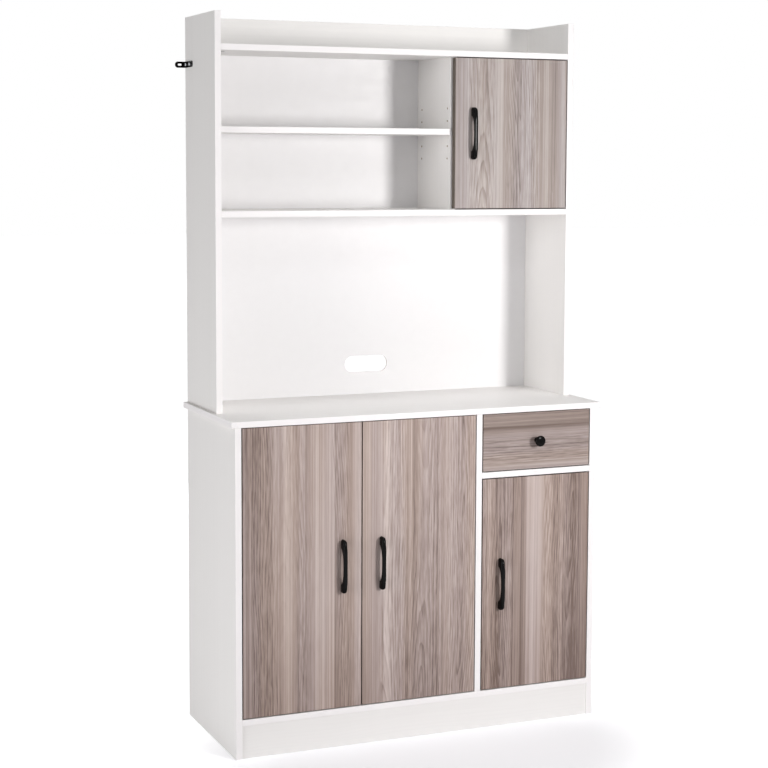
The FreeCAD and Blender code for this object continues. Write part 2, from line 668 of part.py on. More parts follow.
def build_base():
    """Sides, divider, bottom, rails, back and worktop of the base cabinet."""
    back_slot = ("back_front - panel_play", "back_rear + panel_play")
    back_height = ("kick_height", "worktop_under")
    sides = (
        ("base_side_left", ("left_outer", "left_inner"), ("left_inner - groove_depth", "left_inner")),
        ("base_side_right", ("right_inner", "right_outer"), ("right_inner", "right_inner + groove_depth")),
    )
    for label, x, slot in sides:
        add_bore(box(label + "_groove", slot, back_slot, back_height), label)
        bored(label, box(label + "_blank", x, ("front", "rear"), ("0", "worktop_under")))
    divider_x = ("base_divider_left", "base_divider_right")
    bored("base_divider", box("base_divider_blank", divider_x, ("front", "back_front"),
                              ("bottom_top", "worktop_under")))
    inner_x = ("left_inner", "right_inner")
    bored("base_bottom_panel", box("base_bottom_blank", inner_x, ("front", "back_front"),
                                   ("kick_height", "bottom_top")))
    bored("drawer_rail", box("drawer_rail_blank", ("base_divider_right", "right_inner"),
                             ("front", "back_front"), ("rail_under", "rail_top")))
    rails = (("kick_board", "front + kick_recess"), ("rear_plinth_rail", "back_front - plinth_rail_inset"))
    for label, start in rails:
        depth = (start, "%s + kick_thick" % start)
        bored(label, box(label + "_blank", inner_x, depth, ("0", "kick_height")))
    box("base_back_panel", BACK_WIDTH, ("back_front", "back_rear"), back_height)
    blank = body("worktop_blank")
    outline = sketch(blank, "worktop_outline", "XY_Plane")
    worktop_x = ("left_outer - side_overhang", "right_outer + side_overhang")
    draw_rectangle(outline, worktop_x, ("front - front_overhang", "rear"))
    pad(blank, "worktop_board", outline, "worktop_thick")
    locate(blank, z="worktop_under")
    doc.recompute()
    soften(blank, "worktop_round_edges", "worktop_rounding", lambda edge, whole:
           same(edge.YMax, whole.YMin) and same(edge.ZMin, edge.ZMax))
    bored("worktop", blank)


def same(first, second):
    """Whether two places on a shape agree within the tolerance of its bounds."""
    return abs(first - second) < value("panel_play") / 2


def soften(owner, name, radius, wanted):
    """Rounds those edges of a body whose bounds pass a test beside the bounds of the whole body."""
    whole = owner.Shape.BoundBox
    edges = enumerate(owner.Shape.Edges, start=1)
    chosen = ["Edge%d" % number for number, edge in edges if wanted(edge.BoundBox, whole)]
    last = owner.Tip
    made = owner.newObject("PartDesign::Fillet", name)
    made.Base = (last, chosen)
    bind(made, "Radius", radius)
    doc.recompute()
    return made


def build_hutch():
    """Sides, divider, shelves, backs and gallery board of the hutch."""
    back_slot = ("back_front - panel_play", "back_rear + panel_play")
    slot_height = ("base_height", "top_under + groove_depth")
    sides = (
        ("hutch_side_left", ("left_outer", "left_inner"), ("left_inner - groove_depth", "left_inner")),
        ("hutch_side_right", ("right_inner", "right_outer"), ("right_inner", "right_inner + groove_depth")),
    )
    for label, x, slot in sides:
        add_bore(box(label + "_groove", slot, back_slot, slot_height), label)
        bored(label, box(label + "_blank", x, ("hutch_front", "rear"), ("base_height", "total_height")))
    inner_x = ("left_inner", "right_inner")
    bored("hutch_divider", box("hutch_divider_blank", ("hutch_divider_left", "hutch_divider_right"),
                               ("divider_front", "back_front"), ("fixed_top", "top_under")))
    bored("hutch_fixed_shelf", box("hutch_fixed_blank", inner_x, ("hutch_front", "back_front"),
                                   ("fixed_under", "fixed_top")))
    add_bore(box("top_shelf_groove", inner_x, back_slot, ("top_under", "top_under + groove_depth")),
             "hutch_top_shelf")
    bored("hutch_top_shelf", box("hutch_top_blank", inner_x, ("hutch_front", "rear"),
                                 ("top_under", "gallery_floor")))
    bored("gallery_board", box("gallery_blank", inner_x, ("rear - upright_thick", "rear"),
                               ("gallery_floor", "total_height")))
    box("hutch_upper_back", BACK_WIDTH, ("back_front", "back_rear"),
        ("fixed_under + shelf_thick / 2", "top_under + groove_depth - panel_play"))
    build_niche_back()
    for label, (bay, front_plane, level, columns, uprights) in SHELF_BAYS.items():
        adjustable_shelf(label, bay, front_plane, level, columns)


def build_niche_back():
    """The back of the niche, with its oblong cable hole."""
    panel = body("niche_back")
    outline = sketch(panel, "niche_back_outline", "XZ_Plane")
    draw_rectangle(outline, BACK_WIDTH, ("0", "niche_clear + shelf_thick / 2"))
    pad(panel, "niche_back_board", outline, "back_thick")
    hole = sketch(panel, "cable_hole_outline", "XZ_Plane")
    draw_oblong(hole, "0", "cable_hole_rise", "cable_hole_length", "cable_hole_height")
    pocket(panel, "cable_hole", hole)
    locate(panel, y="back_rear", z="base_height")


def hinge_arm(label):
    """The fixed arm of one hinge, seen from its axis: a barrel, a bow past the door's edge and a leg."""
    width = ("0 - arm_width / 2", "arm_width / 2")
    start = ("0", "0", width[0])
    barrel = rod(label + "_barrel", "Z", start, "arm_barrel_radius", "arm_width")
    strip = doc.addObject("Part::Box", label + "_strip")
    for side, text in (("Length", "arm_swing_radius"), ("Width", "arm_thick"), ("Height", "arm_width")):
        bind(strip, side, text)
    strip.Placement = Placement(Vector(), Rotation(Vector(0, 0, 1), 90))
    bind(strip, "Placement.Rotation.Angle", "arm_turn")
    for letter, text in (("x", "arm_thick / 2 * sin(arm_turn)"), ("y", "0 - arm_thick / 2 * cos(arm_turn)")):
        bind(strip, "Placement.Base." + letter, text)
    bind(strip, "Placement.Base.z", width[0])
    outer = rod(label + "_bow_outer", "Z", start, "arm_outer", "arm_width")
    bind(outer, "Angle", "(arm_angle - 90) * 1 deg")
    outer.Placement.Rotation = Rotation(Vector(0, 0, 1), 90)
    inner = rod(label + "_bow_inner", "Z", start, "arm_inner", "arm_width")
    bow = cut(label + "_bow", outer, [inner])
    bar = box(label + "_bar", ("0", "plate_face"), ("arm_inner", "arm_outer"), width)
    leg = box(label + "_leg", ("plate_face - arm_thick", "plate_face"),
              ("arm_inner", "arm_inner + arm_leg"), width)
    whole = joined(label + "_blank", [barrel, strip, bow, bar, leg])
    bore = rod(label + "_bore", "Z", start, "hinge_pin_radius + hinge_fit", "arm_width")
    return cut(label, whole, [bore])


def hinge_plate(label):
    """The mounting plate of one hinge, seen from its axis, with two wings for its screws."""
    spine = box(label + "_spine", ("plate_face", "axis_from_wall"),
                ("plate_start", "plate_start + plate_length"), ("0 - arm_width / 2", "arm_width / 2"))
    wings = box(label + "_wings", ("axis_from_wall - wing_thick", "axis_from_wall"),
                ("plate_start", "plate_start + wing_width"), ("0 - wing_height / 2", "wing_height / 2"))
    holes = [
        rod("%s_hole_%d" % (label, number), "X",
            ("axis_from_wall - wing_thick", "wing_middle", "0 %s wing_screw_pitch / 2" % sign),
            "screw_radius + pin_fit", "wing_thick")
        for number, sign in enumerate("+-")
    ]
    return cut(label, joined(label + "_blank", [spine, wings]), holes)


def hinge_cup(label):
    """The cup of one hinge in its door, seen from the axis, with its rim, ears, pegs and pin."""
    middle = ("cup_middle", "cup_floor", "0")
    mouth = ("cup_middle", "door_back", "0")
    pieces = [
        rod(label + "_cup", "Y", middle, "cup_radius", "cup_depth"),
        rod(label + "_rim", "Y", mouth, "cup_rim_radius", "cup_rim_thick"),
        box(label + "_ears", ("cup_middle - ear_width / 2", "cup_middle + ear_width / 2"),
            ("door_back", "door_back + cup_rim_thick"),
            ("0 - ear_reach - peg_radius", "ear_reach + peg_radius")),
    ]
    for number, sign in enumerate("+-"):
        pieces.append(rod("%s_peg_%d" % (label, number), "Y",
                          ("cup_middle", "door_back - peg_length", "0 %s ear_reach" % sign),
                          "peg_radius", "peg_length"))
    hollow = rod(label + "_hollow", "Y", ("cup_middle", "cup_floor + cup_wall", "0"), "cup_radius - cup_wall",
                 "cup_depth + cup_rim_thick")
    shell = cut(label + "_shell", joined(label + "_blank", pieces), [hollow])
    pin = rod(label + "_pin", "Z", ("0", "0", "0 - pin_half"), "hinge_pin_radius", "2 * pin_half")
    return joined(label, [shell, pin])


def build_hinges():
    """Arms and plates of all the hinges, and the cups of each door."""
    arms = []
    plates = []
    for door, (width, height, front_plane, (upright, wall), hand) in DOORS.items():
        turn = NO_TURN if hand == 1 else HALF_TURN
        axis_x = "%s %s axis_from_wall" % (wall, "-" if hand == 1 else "+")
        cups = []
        for number, level in enumerate(hinge_levels(height), start=1):
            place = (axis_x, "%s + axis_depth" % front_plane, level)
            arms.append(locate(hinge_arm("%s_hinge_arm_%d" % (door, number)), *place, turn=turn))
            plates.append(locate(hinge_plate("%s_hinge_plate_%d" % (door, number)), *place, turn=turn))
            cups.append(locate(hinge_cup("%s_hinge_cup_%d" % (door, number)), *place, turn=turn))
        group(door + "_hinge_cups", cups)
    group("hinge_arms", arms)
    group("hinge_plates", plates)


def bow_handle(label):
    """A bow handle, seen from the middle of its foot plane: +Z along it, -Y away from the door."""
    handle = body(label)
    side = sketch(handle, label + "_side", "YZ_Plane")
    draw_rectangle(side, ("0 - handle_reach", "0"), ("0 - handle_length / 2", "handle_length / 2"))
    pad(handle, label + "_bar", side, "handle_width", side="Symmetric")
    arch = sketch(handle, label + "_arch_outline", "YZ_Plane")
    draw_circle(arch, "arch_radius - arch_rise", "0", "arch_radius")
    pocket(handle, label + "_arch", arch)
    soften(handle, label + "_round_ends", "handle_end_radius", lambda edge, whole:
           same(edge.YMax, whole.YMin) and same(edge.ZMin, edge.ZMax))
    soften(handle, label + "_round_edges", "handle_rounding", lambda edge, whole:
           same(edge.XMin, edge.XMax) and not same(edge.YMin, whole.YMax))
    for name, sign in (("lower", "-"), ("upper", "+")):
        ring = sketch(handle, "%s_%s_hole_outline" % (label, name), "XZ_Plane")
        draw_circle(ring, "0", "0 %s handle_pitch / 2" % sign, "machine_screw_radius + pin_fit")
        pocket(handle, "%s_%s_hole" % (label, name), ring, "machine_grip + panel_play", reverse=True)
    return handle


def machine_screw(name, x, head_face, z, through):
    """A screw of a handle or knob, its head on the back face of the front that it passes through."""
    place = (x, head_face, z)
    shank = back_rod(name + "_shank", "Y", place, "machine_screw_radius", "%s + machine_grip" % through)
    head = rod(name + "_head", "Y", place, "machine_head_radius", "machine_head_height")
    return joined(name, [shank, head])


def build_doors():
    """The door panels, their handles and the screws of the handles."""
    for door, (width, height, front_plane, (upright, wall), hand) in DOORS.items():
        back_face = "%s + front_thick" % front_plane
        inward = "-" if hand == 1 else "+"
        cup_x = "%s %s (front_gap + cup_edge)" % (wall, inward)
        holes = []
        for number, level in enumerate(hinge_levels(height), start=1):
            name = "%s_cup_seat_%d" % (door, number)
            depth = "cup_depth + panel_play"
            holes.append(back_rod(name, "Y", (cup_x, back_face, level), "cup_radius + pin_fit", depth))
            for peg, sign in enumerate("+-"):
                place = (cup_x, back_face, "%s %s ear_reach" % (level, sign))
                holes.append(back_rod("%s_peg_seat_%d" % (name, peg), "Y", place, "peg_radius + pin_fit",
                                      "peg_length + panel_play"))
        handle_x = "%s + handle_inset" % width[0] if hand == 1 else "%s - handle_inset" % width[1]
        middle = "(%s + %s) / 2" % height
        handle_screws = []
        for number, sign in enumerate("+-", start=1):
            z = "%s %s handle_pitch / 2" % (middle, sign)
            name = "%s_handle_screw_%d" % (door, number)
            handle_screws.append(machine_screw(name, handle_x, back_face, z, "front_thick"))
            holes.append(back_rod(name + "_bore", "Y", (handle_x, back_face, z),
                                  "machine_screw_radius + machine_play", "front_thick"))
        group(door + "_handle_screws", handle_screws)
        cut(door + "_panel", box(door + "_blank", width, (front_plane, back_face), height), holes)
        locate(bow_handle(door + "_handle"), handle_x, front_plane, middle)


def runner_member(label, corners):
    """A channel of a drawer runner, seen from the cabinet wall at its front end, with two screw holes."""
    member = body(label)
    outline = sketch(member, label + "_section", "XZ_Plane")
    draw_outline(outline, corners)
    pad(member, label + "_channel", outline, "runner_length", reverse=True)
    rings = sketch(member, label + "_hole_outline", "YZ_Plane")
    for y in ("runner_screw_inset", "runner_length - runner_screw_inset"):
        draw_circle(rings, y, "0", "screw_radius + pin_fit")
    pocket(member, label + "_holes", rings)
    return member


def channel(web_face, web_inner, lip_end, half_height):
    """Corners of a channel section, from the plane of its web's back to the ends of its lips."""
    inner = "%s - runner_sheet" % half_height
    return [
        (web_face, "0 - %s" % half_height), (web_face, half_height), (lip_end, half_height), (lip_end, inner),
        (web_inner, inner), (web_inner, "0 - (%s)" % inner), (lip_end, "0 - (%s)" % inner),
        (lip_end, "0 - %s" % half_height),
    ]


def ball_cage(label):
    """The two strips of balls of one runner, seen from the cabinet wall."""
    strips = []
    middle_x = "0 - cage_from_wall - cage_width / 2"
    for name, sign in (("lower", "-"), ("upper", "+")):
        level = "0 %s ball_level" % sign
        strip = box("%s_%s_strip" % (label, name), ("0 - cage_from_wall - cage_width", "0 - cage_from_wall"),
                    ("0", "cage_length"), ("%s - cage_sheet / 2" % level, "%s + cage_sheet / 2" % level))
        pieces = [strip]
        for step in range(-2, 3):
            ball = doc.addObject("Part::Sphere", "%s_%s_ball_%d" % (label, name, step + 2))
            bind(ball, "Radius", "ball_radius")
            pieces.append(locate(ball, middle_x, "cage_length / 2 + %d * ball_pitch" % step, level))
        strips.append(joined("%s_%s" % (label, name), pieces))
    return group(label, strips)


def build_runners():
    """Cabinet and drawer members of both runners, the ball cages and the screws on the drawer."""
    cabinet_corners = channel("0", "0 - runner_sheet", "0 - runner_reach", "runner_height / 2")
    drawer_web = "0 - runner_space"
    drawer_corners = channel(drawer_web, "%s + runner_sheet" % drawer_web,
                             "%s + runner_sheet + member_lip" % drawer_web, "member_height / 2")
    cabinet_members = []
    drawer_members = []
    drawer_screws = []
    for side, wall, turn in (("left", "base_divider_right", HALF_TURN), ("right", "right_inner", NO_TURN)):
        place = (wall, "runner_front", "runner_level")
        cabinet = runner_member("cabinet_member_" + side, cabinet_corners)
        cabinet_members.append(locate(cabinet, *place, turn=turn))
        drawer = runner_member("drawer_member_" + side, drawer_corners)
        drawer_members.append(locate(drawer, *place, turn=turn))
        locate(ball_cage("ball_cage_" + side), wall, "cage_front", "runner_level", turn=turn)
        sign, make_bore = ("+", rod) if side == "left" else ("-", back_rod)
        head_face = "%s %s (runner_space - runner_sheet)" % (wall, sign)
        for number, y in enumerate(runner_screw_depths(), start=1):
            name = "drawer_screw_%s_%d" % (side, number)
            drawer_screws.append(screw_at(name, head_face, sign, y, "runner_level"))
            hole = make_bore(name + "_bore", "X", (head_face, y, "runner_level"), "screw_radius + pin_fit",
                             "screw_length + panel_play")
            add_bore(hole, "drawer_side_" + side)
    group("runner_cabinet_members", cabinet_members)
    group("runner_drawer_members", drawer_members)
    group("drawer_runner_screws", drawer_screws)


def drawer_knob(label):
    """A round knob with a domed face, seen from the foot of its stem, with the hole for its screw."""
    knob = body(label)
    half = sketch(knob, label + "_outline", "XY_Plane")
    head_back = "knob_head_height - knob_reach"
    dome_edge = "knob_dome - knob_reach"
    corners = [
        ("0", "0"), ("knob_stem_radius", "0"), ("knob_stem_radius", head_back), ("knob_radius", head_back),
        ("knob_radius", dome_edge), ("knob_flat_radius", "0 - knob_reach"), ("0", "0 - knob_reach"),
    ]
    draw_outline(half, corners)
    turned = knob.newObject("PartDesign::Revolution", label + "_turned")
    turned.Profile = half
    turned.ReferenceAxis = (half, ["V_Axis"])
    doc.recompute()
    ring = sketch(knob, label + "_hole_outline", "XZ_Plane")
    draw_circle(ring, "0", "0", "machine_screw_radius + pin_fit")
    pocket(knob, label + "_hole", ring, "machine_grip + panel_play", reverse=True)
    return knob


def build_drawer():
    """The drawer front, its box, dowels, knob and the knob's screw."""
    width = RIGHT_FRONT_WIDTH
    height = ("rail_top + front_gap", "worktop_under - front_gap")
    sides = (
        ("drawer_side_left", ("box_left", "box_left + box_side_thick"),
         ("box_left + box_side_thick - groove_depth", "box_left + box_side_thick"), "+"),
        ("drawer_side_right", ("box_right - box_side_thick", "box_right"),
         ("box_right - box_side_thick", "box_right - box_side_thick + groove_depth"), "-"),
    )
    slot_height = ("box_floor_under - panel_play", "box_floor_top + panel_play")
    drawer_dowels = []
    whole = "dowel_in_face + dowel_in_end"
    for label, x, slot, side in sides:
        add_bore(box(label + "_groove", slot, ("box_front", "box_rear"), slot_height), label)
        levels = ("box_under + drawer_dowel_inset", "box_top - drawer_dowel_inset")
        for number, z in enumerate(levels, start=1):
            place = ("(%s + %s) / 2" % x, "box_front - dowel_in_face", z)
            name = "%s_dowel_%d" % (label, number)
            dowel = add_fastener(name, "Y", place, "dowel_radius", whole, (label, "drawer_front"))
            drawer_dowels.append(dowel)
        bored(label, box(label + "_blank", x, ("box_front", "box_rear"), ("box_under", "box_top")))
    group("drawer_dowels", drawer_dowels)
    between = ("box_left + box_side_thick", "box_right - box_side_thick")
    box("drawer_back", between, ("box_rear - box_side_thick", "box_rear"), ("box_floor_top", "box_top"))
    box("drawer_bottom", ("box_left + box_side_thick - groove_depth + panel_play",
                          "box_right - box_side_thick + groove_depth - panel_play"),
        ("box_front", "box_rear"), ("box_floor_under", "box_floor_top"))
    knob_place = ("(%s + %s) / 2" % width, "box_front", "(%s + %s) / 2" % height)
    knob_bore_radius = "machine_screw_radius + machine_play"
    knob_bore = back_rod("knob_screw_bore", "Y", knob_place, knob_bore_radius, "front_thick")
    add_bore(knob_bore, "drawer_front")
    machine_screw("drawer_knob_screw", knob_place[0], knob_place[1], knob_place[2], "front_thick")
    bored("drawer_front", box("drawer_front_blank", width, ("front", "box_front"), height))
    locate(drawer_knob("drawer_knob"), knob_place[0], "front", knob_place[2])


def wall_bracket(label):
    """An L-shaped wall bracket, seen from the rear corner of the side: wall leg to -X, side leg to -Y."""
    bracket = body(label)
    outline = sketch(bracket, label + "_outline", "XY_Plane")
    draw_outline(outline, [
        ("0", "0"), ("0 - bracket_wall_leg", "0"), ("0 - bracket_wall_leg", "0 - bracket_sheet"),
        ("0 - bracket_sheet", "0 - bracket_sheet"), ("0 - bracket_sheet", "0 - bracket_side_leg"),
        ("0", "0 - bracket_side_leg"),
    ])
    pad(bracket, label + "_strip", outline, "bracket_width", side="Symmetric")
    soften(bracket, label + "_round_ends", "bracket_rounding", lambda edge, whole:
           same(edge.ZMin, edge.ZMax) and (same(edge.XMax, whole.XMin) or same(edge.YMax, whole.YMin)))
    rings = sketch(bracket, label + "_screw_holes_outline", "YZ_Plane")
    for distance in ("bracket_first_screw", "bracket_second_screw"):
        draw_circle(rings, "0 - %s" % distance, "0", "screw_radius + pin_fit")
    pocket(bracket, label + "_screw_holes", rings)
    slot = sketch(bracket, label + "_slot_outline", "XZ_Plane")
    draw_oblong(slot, "0 - slot_distance", "0", "slot_length", "slot_width")
    pocket(bracket, label + "_slot", slot)
    return bracket


def build_small_parts():
    """Wall brackets, bumpers, and the fasteners that share a node."""
    locate(wall_bracket("wall_bracket_left"), "left_outer", "rear", "bracket_level", turn=NO_TURN)
    locate(wall_bracket("wall_bracket_right"), "right_outer", "rear", "bracket_level", turn=HALF_TURN)
    bumper_x = "hutch_divider_left + (upright_thick + divider_show) / 2"
    levels = ("fixed_top + bumper_end_distance", "top_under - bumper_end_distance")
    bumpers = [
        back_rod("bumper_%d" % number, "Y", (bumper_x, "divider_front", z), "bumper_radius",
                 "divider_gap - bumper_gap")
        for number, z in enumerate(levels, start=1)
    ]
    group("hutch_door_bumpers", bumpers)
    group("wood_dowels", dowels)
    group("cam_bolts", cam_bolts)
    group("cam_discs", cam_discs)
    group("shelf_pins", shelf_pins)
    group("carcass_screws", screws)


# Every node, in the order of assembly
NODES = [
    "base_side_left", "base_side_right", "base_divider", "base_bottom_panel", "kick_board", "rear_plinth_rail",
    "drawer_rail", "base_back_panel", "worktop", "base_shelf_left", "base_shelf_right",
    "hutch_side_left", "hutch_side_right", "hutch_divider", "hutch_fixed_shelf", "hutch_top_shelf",
    "gallery_board", "hutch_upper_back", "niche_back", "hutch_adjustable_shelf", "cupboard_shelf",
    "shelf_pins", "wood_dowels", "cam_bolts", "cam_discs", "carcass_screws", "wall_bracket_left",
    "wall_bracket_right", "hinge_arms", "hinge_plates", "hutch_door_bumpers", "runner_cabinet_members",
    "drawer_front", "drawer_side_left", "drawer_side_right", "drawer_back", "drawer_bottom", "drawer_dowels",
    "drawer_knob", "drawer_knob_screw", "runner_drawer_members", "drawer_runner_screws",
    "ball_cage_left", "ball_cage_right",
]
DOOR_PIECES = ("panel", "handle", "handle_screws", "hinge_cups")
NODES += ["%s_%s" % (door, piece) for door in DOORS for piece in DOOR_PIECES]


def check_and_export():
    """Stops at a failed object or a bad shape, then writes one file for each node."""
    doc.recompute()
    failed = [item.Name for item in doc.Objects if {"Invalid", "Error"} & set(item.State)]
    if failed:
        raise RuntimeError("failed objects: " + ", ".join(failed))
    for label in NODES:
        shape = doc.getObjectsByLabel(label)[0].Shape
        if shape.isNull() or not shape.isValid() or not shape.Solids:
            raise RuntimeError("bad shape: " + label)
    for label in NODES:
        shape = doc.getObjectsByLabel(label)[0].Shape
        shape.exportStep("parts/%s.step" % label)
        print("%-28s %2d solids %12.1f mm3" % (label, len(shape.Solids), shape.Volume))


join_carcass()
fix_fittings()
build_base()
build_hutch()
build_hinges()
build_doors()
build_runners()
build_drawer()
build_small_parts()
check_and_export()
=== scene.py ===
"""A kitchen hutch in white and grey oak laminate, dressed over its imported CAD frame."""

import json
import math

import bmesh
import bpy
from bpy.props import BoolProperty, FloatProperty, FloatVectorProperty, IntProperty, PointerProperty
from mathutils import Matrix, Vector

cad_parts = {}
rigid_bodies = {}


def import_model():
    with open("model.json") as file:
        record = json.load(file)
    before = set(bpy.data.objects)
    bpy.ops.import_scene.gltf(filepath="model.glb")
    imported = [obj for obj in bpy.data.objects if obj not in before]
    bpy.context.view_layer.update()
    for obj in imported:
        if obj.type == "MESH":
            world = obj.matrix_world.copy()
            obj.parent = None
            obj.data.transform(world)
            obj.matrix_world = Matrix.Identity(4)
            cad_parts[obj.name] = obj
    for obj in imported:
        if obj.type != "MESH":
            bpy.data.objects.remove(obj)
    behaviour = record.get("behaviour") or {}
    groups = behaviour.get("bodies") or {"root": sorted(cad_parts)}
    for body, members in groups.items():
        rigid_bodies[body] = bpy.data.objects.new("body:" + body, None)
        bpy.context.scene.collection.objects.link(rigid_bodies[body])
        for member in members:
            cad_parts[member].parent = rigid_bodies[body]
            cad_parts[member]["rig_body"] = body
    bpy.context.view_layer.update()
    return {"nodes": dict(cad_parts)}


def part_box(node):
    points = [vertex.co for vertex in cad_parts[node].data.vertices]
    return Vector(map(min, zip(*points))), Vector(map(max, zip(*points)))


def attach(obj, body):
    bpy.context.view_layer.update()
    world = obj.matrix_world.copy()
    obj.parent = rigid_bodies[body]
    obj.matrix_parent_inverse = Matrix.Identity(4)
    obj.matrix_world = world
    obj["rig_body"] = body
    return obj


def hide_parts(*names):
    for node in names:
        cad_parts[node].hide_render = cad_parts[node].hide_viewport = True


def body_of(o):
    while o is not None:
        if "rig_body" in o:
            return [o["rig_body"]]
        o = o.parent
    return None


bl_info = {
    "name": "Kitchen hutch",
    "version": (1, 0, 0),
    "blender": (4, 5, 0),
    "location": "3D View > Sidebar > Hutch",
    "description": "Dresses the packed kitchen hutch with laminate boards, fittings and a studio",
    "category": "Object",
}

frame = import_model()
NODES = frame["nodes"]

MM = 0.001
AXES = {"X": 0, "Y": 1, "Z": 2}
SAME_PLACE = 0.005 * MM
TOUCHING = 0.01 * MM


def linear(red, green, blue):
    """A colour given as screen values from 0 to 255, as Blender's linear values."""
    shares = (red / 255, green / 255, blue / 255)
    return tuple(s / 12.92 if s <= 0.04045 else ((s + 0.055) / 1.055) ** 2.4 for s in shares)


def colour_choice(name, text, screen):
    return FloatVectorProperty(name=name, description=text, default=linear(*screen), subtype="COLOR",
                               size=3, min=0, max=1)


def length_choice(name, text, millimetres):
    return FloatProperty(name=name, description=text, default=millimetres * MM, min=0, unit="LENGTH")


def amount_choice(name, text, amount):
    return FloatProperty(name=name, description=text, default=amount, min=0)


class HutchColours(bpy.types.PropertyGroup):
    """The colours of the hutch's finishes."""

    white_board: colour_choice("White board", "White laminate of the carcass", (242, 240, 238))
    white_band: colour_choice("White edging", "Edging of the white boards", (249, 246, 246))
    white_back: colour_choice("White back", "Painted face of the thin backs", (244, 243, 244))
    brown_back: colour_choice("Bare hardboard", "Bare rear face of the thin backs", (139, 105, 74))
    chipboard: colour_choice("Chipboard", "Bare board in holes and notches", (168, 140, 104))
    oak_light: colour_choice("Oak, light", "Lightest tone of the oak print", (211, 197, 193))
    oak_middle: colour_choice("Oak, middle", "Middle tone of the oak print", (171, 153, 147))
    oak_dark: colour_choice("Oak, dark", "Darkest tone of the oak print", (106, 87, 80))
    oak_warmth: colour_choice("Oak, warm bands", "Tint of the warmer bands of the oak print", (255, 252, 246))
    oak_coolness: colour_choice("Oak, cool boards", "Tint of the boards with a cooler print", (241, 250, 255))
    oak_band: colour_choice("Oak edging", "Edging of the doors and the drawer front", (88, 77, 66))
    black: colour_choice("Black fittings", "Handles, knob and wall brackets", (4, 3, 3))
    zinc: colour_choice("Zinc", "Runners, screws and cam bolts", (196, 198, 202))
    nickel: colour_choice("Nickel", "Hinges and shelf pins", (208, 204, 196))
    cast_zinc: colour_choice("Cast zinc", "Cam discs", (150, 152, 156))
    beech: colour_choice("Beech", "Wood dowels", (214, 182, 140))
    rubber: colour_choice("Clear rubber", "Door bumpers", (228, 229, 226))


class HutchSizes(bpy.types.PropertyGroup):
    """Sizes of what the scene adds to the boards and fittings."""

    board_rounding: length_choice("Board edges", "Rounding of the boards' outer edges", 0.6)
    front_rounding: length_choice("Front edges", "Rounding of the doors' and the drawer front's edges", 0.9)
    metal_rounding: length_choice("Sheet edges", "Rounding of the edges of sheet metal", 0.35)
    handle_waist: length_choice("Handle waist", "Width of a handle at its middle", 10.2)
    handle_foot: length_choice("Handle foot", "Width of a handle at its feet", 11.6)
    handle_end_round: length_choice("Handle ends", "Outer corners of a handle, seen from the side", 9)
    handle_fall: length_choice("Handle fall", "How far the bow's outer face falls back at its ends", 4.5)
    handle_middle: length_choice("Handle middle", "Thickness of the bow at its middle", 5.6)
    handle_foot_length: length_choice("Foot length", "Length of each foot on the door", 21)
    recess_width: length_choice("Recess width", "Arms of a screw's cross recess", 0.8)
    round_steps: IntProperty(name="Round steps", description="Flat sides of a turned fitting", default=28,
                             min=8)


class HutchStudio(bpy.types.PropertyGroup):
    """Light and floor of the studio."""

    floor: colour_choice("Floor", "Floor under the hutch", (230, 230, 234))
    floor_glow: amount_choice("Floor glow", "White added to the floor in the picture", 0.27)
    sky: amount_choice("Sky", "Even light from all round", 0.1)
    key: amount_choice("Key lamp", "Power of the lamp at the right front", 51)
    side: amount_choice("Side lamp", "Power of the lamp at the left", 118)
    low: amount_choice("Low lamp", "Power of the low lamp at the left", 7)
    worktop: amount_choice("Worktop lamp", "Power of the narrow lamp above the worktop", 0.45)
    top: amount_choice("Top lamp", "Power of the lamp overhead", 32)
    back: amount_choice("Back lamp", "Power of the low lamp behind", 32)
    shadow_floor: BoolProperty(name="Floor shadow", description="Shows the floor", default=True)


# Node trees


